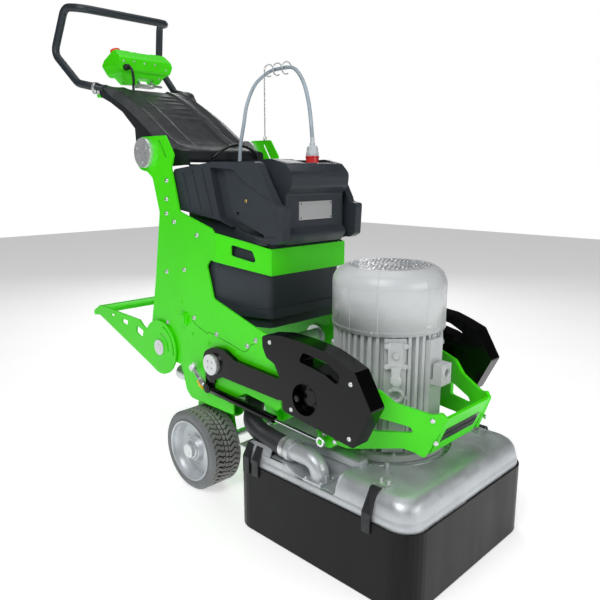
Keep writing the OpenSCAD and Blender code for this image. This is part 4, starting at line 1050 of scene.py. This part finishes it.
def plug():
    """Mains plug: red inlet collar, grey body with grip flats and a strain relief."""
    c = mm(60, -232, 1096)
    up = (0, 0, 1)
    red = bmesh.new()
    turned(red, c, up, [(0, 21), (22, 21), (24, 22.5), (27.6, 22.5), (28, 21.8)], 40)
    obj = new("inlet_collar", red, red_plastic, "frame", 34)
    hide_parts("power_connector")
    bm = bmesh.new()
    rows = []
    for h, r, wave in ((28, 20, 0), (30, 20.6, 0), (40, 20.2, 0), (42, 18.6, 0), (44, 17.4, 0.5),
                       (50, 17.2, 0.9), (56, 16.4, 0.9), (59, 15, 0.5), (61, 11.5, 0),
                       (61.8, 8, 0)):
        rows.append([c + mm((r + wave * math.cos(8 * a)) * math.cos(a),
                            (r + wave * math.cos(8 * a)) * math.sin(a), h)
                     for a in (2 * math.pi * k / 64 for k in range(64))])
    grid(bm, rows, closed_u=True, cap=True)
    turned(bm, c + mm(0, 0, 61), up, [(0, 9.4), (6, 9), (8, 8.2), (9, 7.4), (26, 6.9)], 32)
    new("plug_body", bm, pale_plug, "frame", 40)


def cover_details():
    # Brass stud in each wing's pocket, rivets of the nameplate
    for s, tag in ((-1, "left"), (1, "right")):
        n = Vector((s * 0.9957, -0.0925, 0))
        for label, look, y, z, r, h, slot_name in (
                ("stud", brass, -187, 988, 5.2, 3.0, "bright_steel"),):
            x = 190 - (-30 - y) * 10 / 266
            bm = bmesh.new()
            turned(bm, mm(s * x, y, z), n, [(-1, r), (h - 0.6, r), (h, r - 0.8)], 28)
            new("wing_%s_%s" % (label, tag), bm, look, "frame")
    screws("nameplate_rivets", [(x, -306.2, z) for x in (-67, 67) for z in (936, 980)],
           (0, -1, 0), 2.4, 1.0, iron, "frame")


tyre("left", "wheel_left")
tyre("right", "wheel_right")
rim("left", "wheel_left")
rim("right", "wheel_right")
hose()
handle_cover()
plate_hardware()
motor_details()
head_details()
handle_details()
clamps()
cables()
boom()
lid()
plug()
cover_details()


# ---- floor and light ----
def stage():
    bm = bmesh.new()
    grid(bm, [[Vector((x, y, -0.0005)) for x in (-9, 9)] for y in (-9, 9)])
    floor_look = Look("studio_floor", srgb(250, 250, 250), 0.6).shade(0.99, 1.0, 0.6) \
        .gloss(0.55, 0.65, 2).m
    glow = floor_look.node_tree.nodes["Principled BSDF"].inputs
    glow["Emission Color"].default_value = (1, 1, 1, 1)
    glow["Emission Strength"].default_value = 0.5
    floor = new("studio_floor", bm, floor_look, None)
    world = bpy.data.worlds.new("studio")
    world.use_nodes = True
    nt = world.node_tree
    out, sky = nt.nodes["World Output"], nt.nodes["Background"]
    white = nt.nodes.new("ShaderNodeBackground")
    white.inputs["Color"].default_value = (1, 1, 1, 1)
    white.inputs["Strength"].default_value = 1.0
    # Dimmer towards the horizon, as in a studio with an overhead tent
    where = nt.nodes.new("ShaderNodeTexCoord")
    split = nt.nodes.new("ShaderNodeSeparateXYZ")
    ramp = nt.nodes.new("ShaderNodeMapRange")
    nt.links.new(where.outputs["Generated"], split.inputs[0])
    nt.links.new(split.outputs["Z"], ramp.inputs["Value"])
    for key, v in (("From Min", -0.1), ("From Max", 0.9), ("To Min", 0.5), ("To Max", 0.8)):
        ramp.inputs[key].default_value = v
    nt.links.new(ramp.outputs[0], sky.inputs["Strength"])
    path = nt.nodes.new("ShaderNodeLightPath")
    mix = nt.nodes.new("ShaderNodeMixShader")
    nt.links.new(path.outputs["Is Camera Ray"], mix.inputs[0])
    nt.links.new(sky.outputs[0], mix.inputs[1])
    nt.links.new(white.outputs[0], mix.inputs[2])
    nt.links.new(mix.outputs[0], out.inputs["Surface"])
    scene.world = world

    def area(name, at, to, size, power, tall=None):
        data = bpy.data.lights.new(name, "AREA")
        data.energy, data.size = power, size
        if tall:
            data.shape, data.size_y = "RECTANGLE", tall
        obj = bpy.data.objects.new(name, data)
        obj.location = at
        obj.rotation_euler = (Vector(to) - Vector(at)).to_track_quat("-Z", "Y").to_euler()
        scene.collection.objects.link(obj)
    area("key", (-2.6, -1.2, 3.2), (0, 0, 0.6), 2.2, 75)
    area("fill", (0.6, -4.2, 1.8), (0, -0.3, 0.6), 2.4, 42, 1.6)
    area("top", (0.4, 0.4, 4.2), (0, 0, 0), 3.0, 40)
    area("rim", (2.6, 2.6, 2.2), (0, 0, 0.9), 1.8, 45)


stage()
scene.view_settings.view_transform = "Standard"
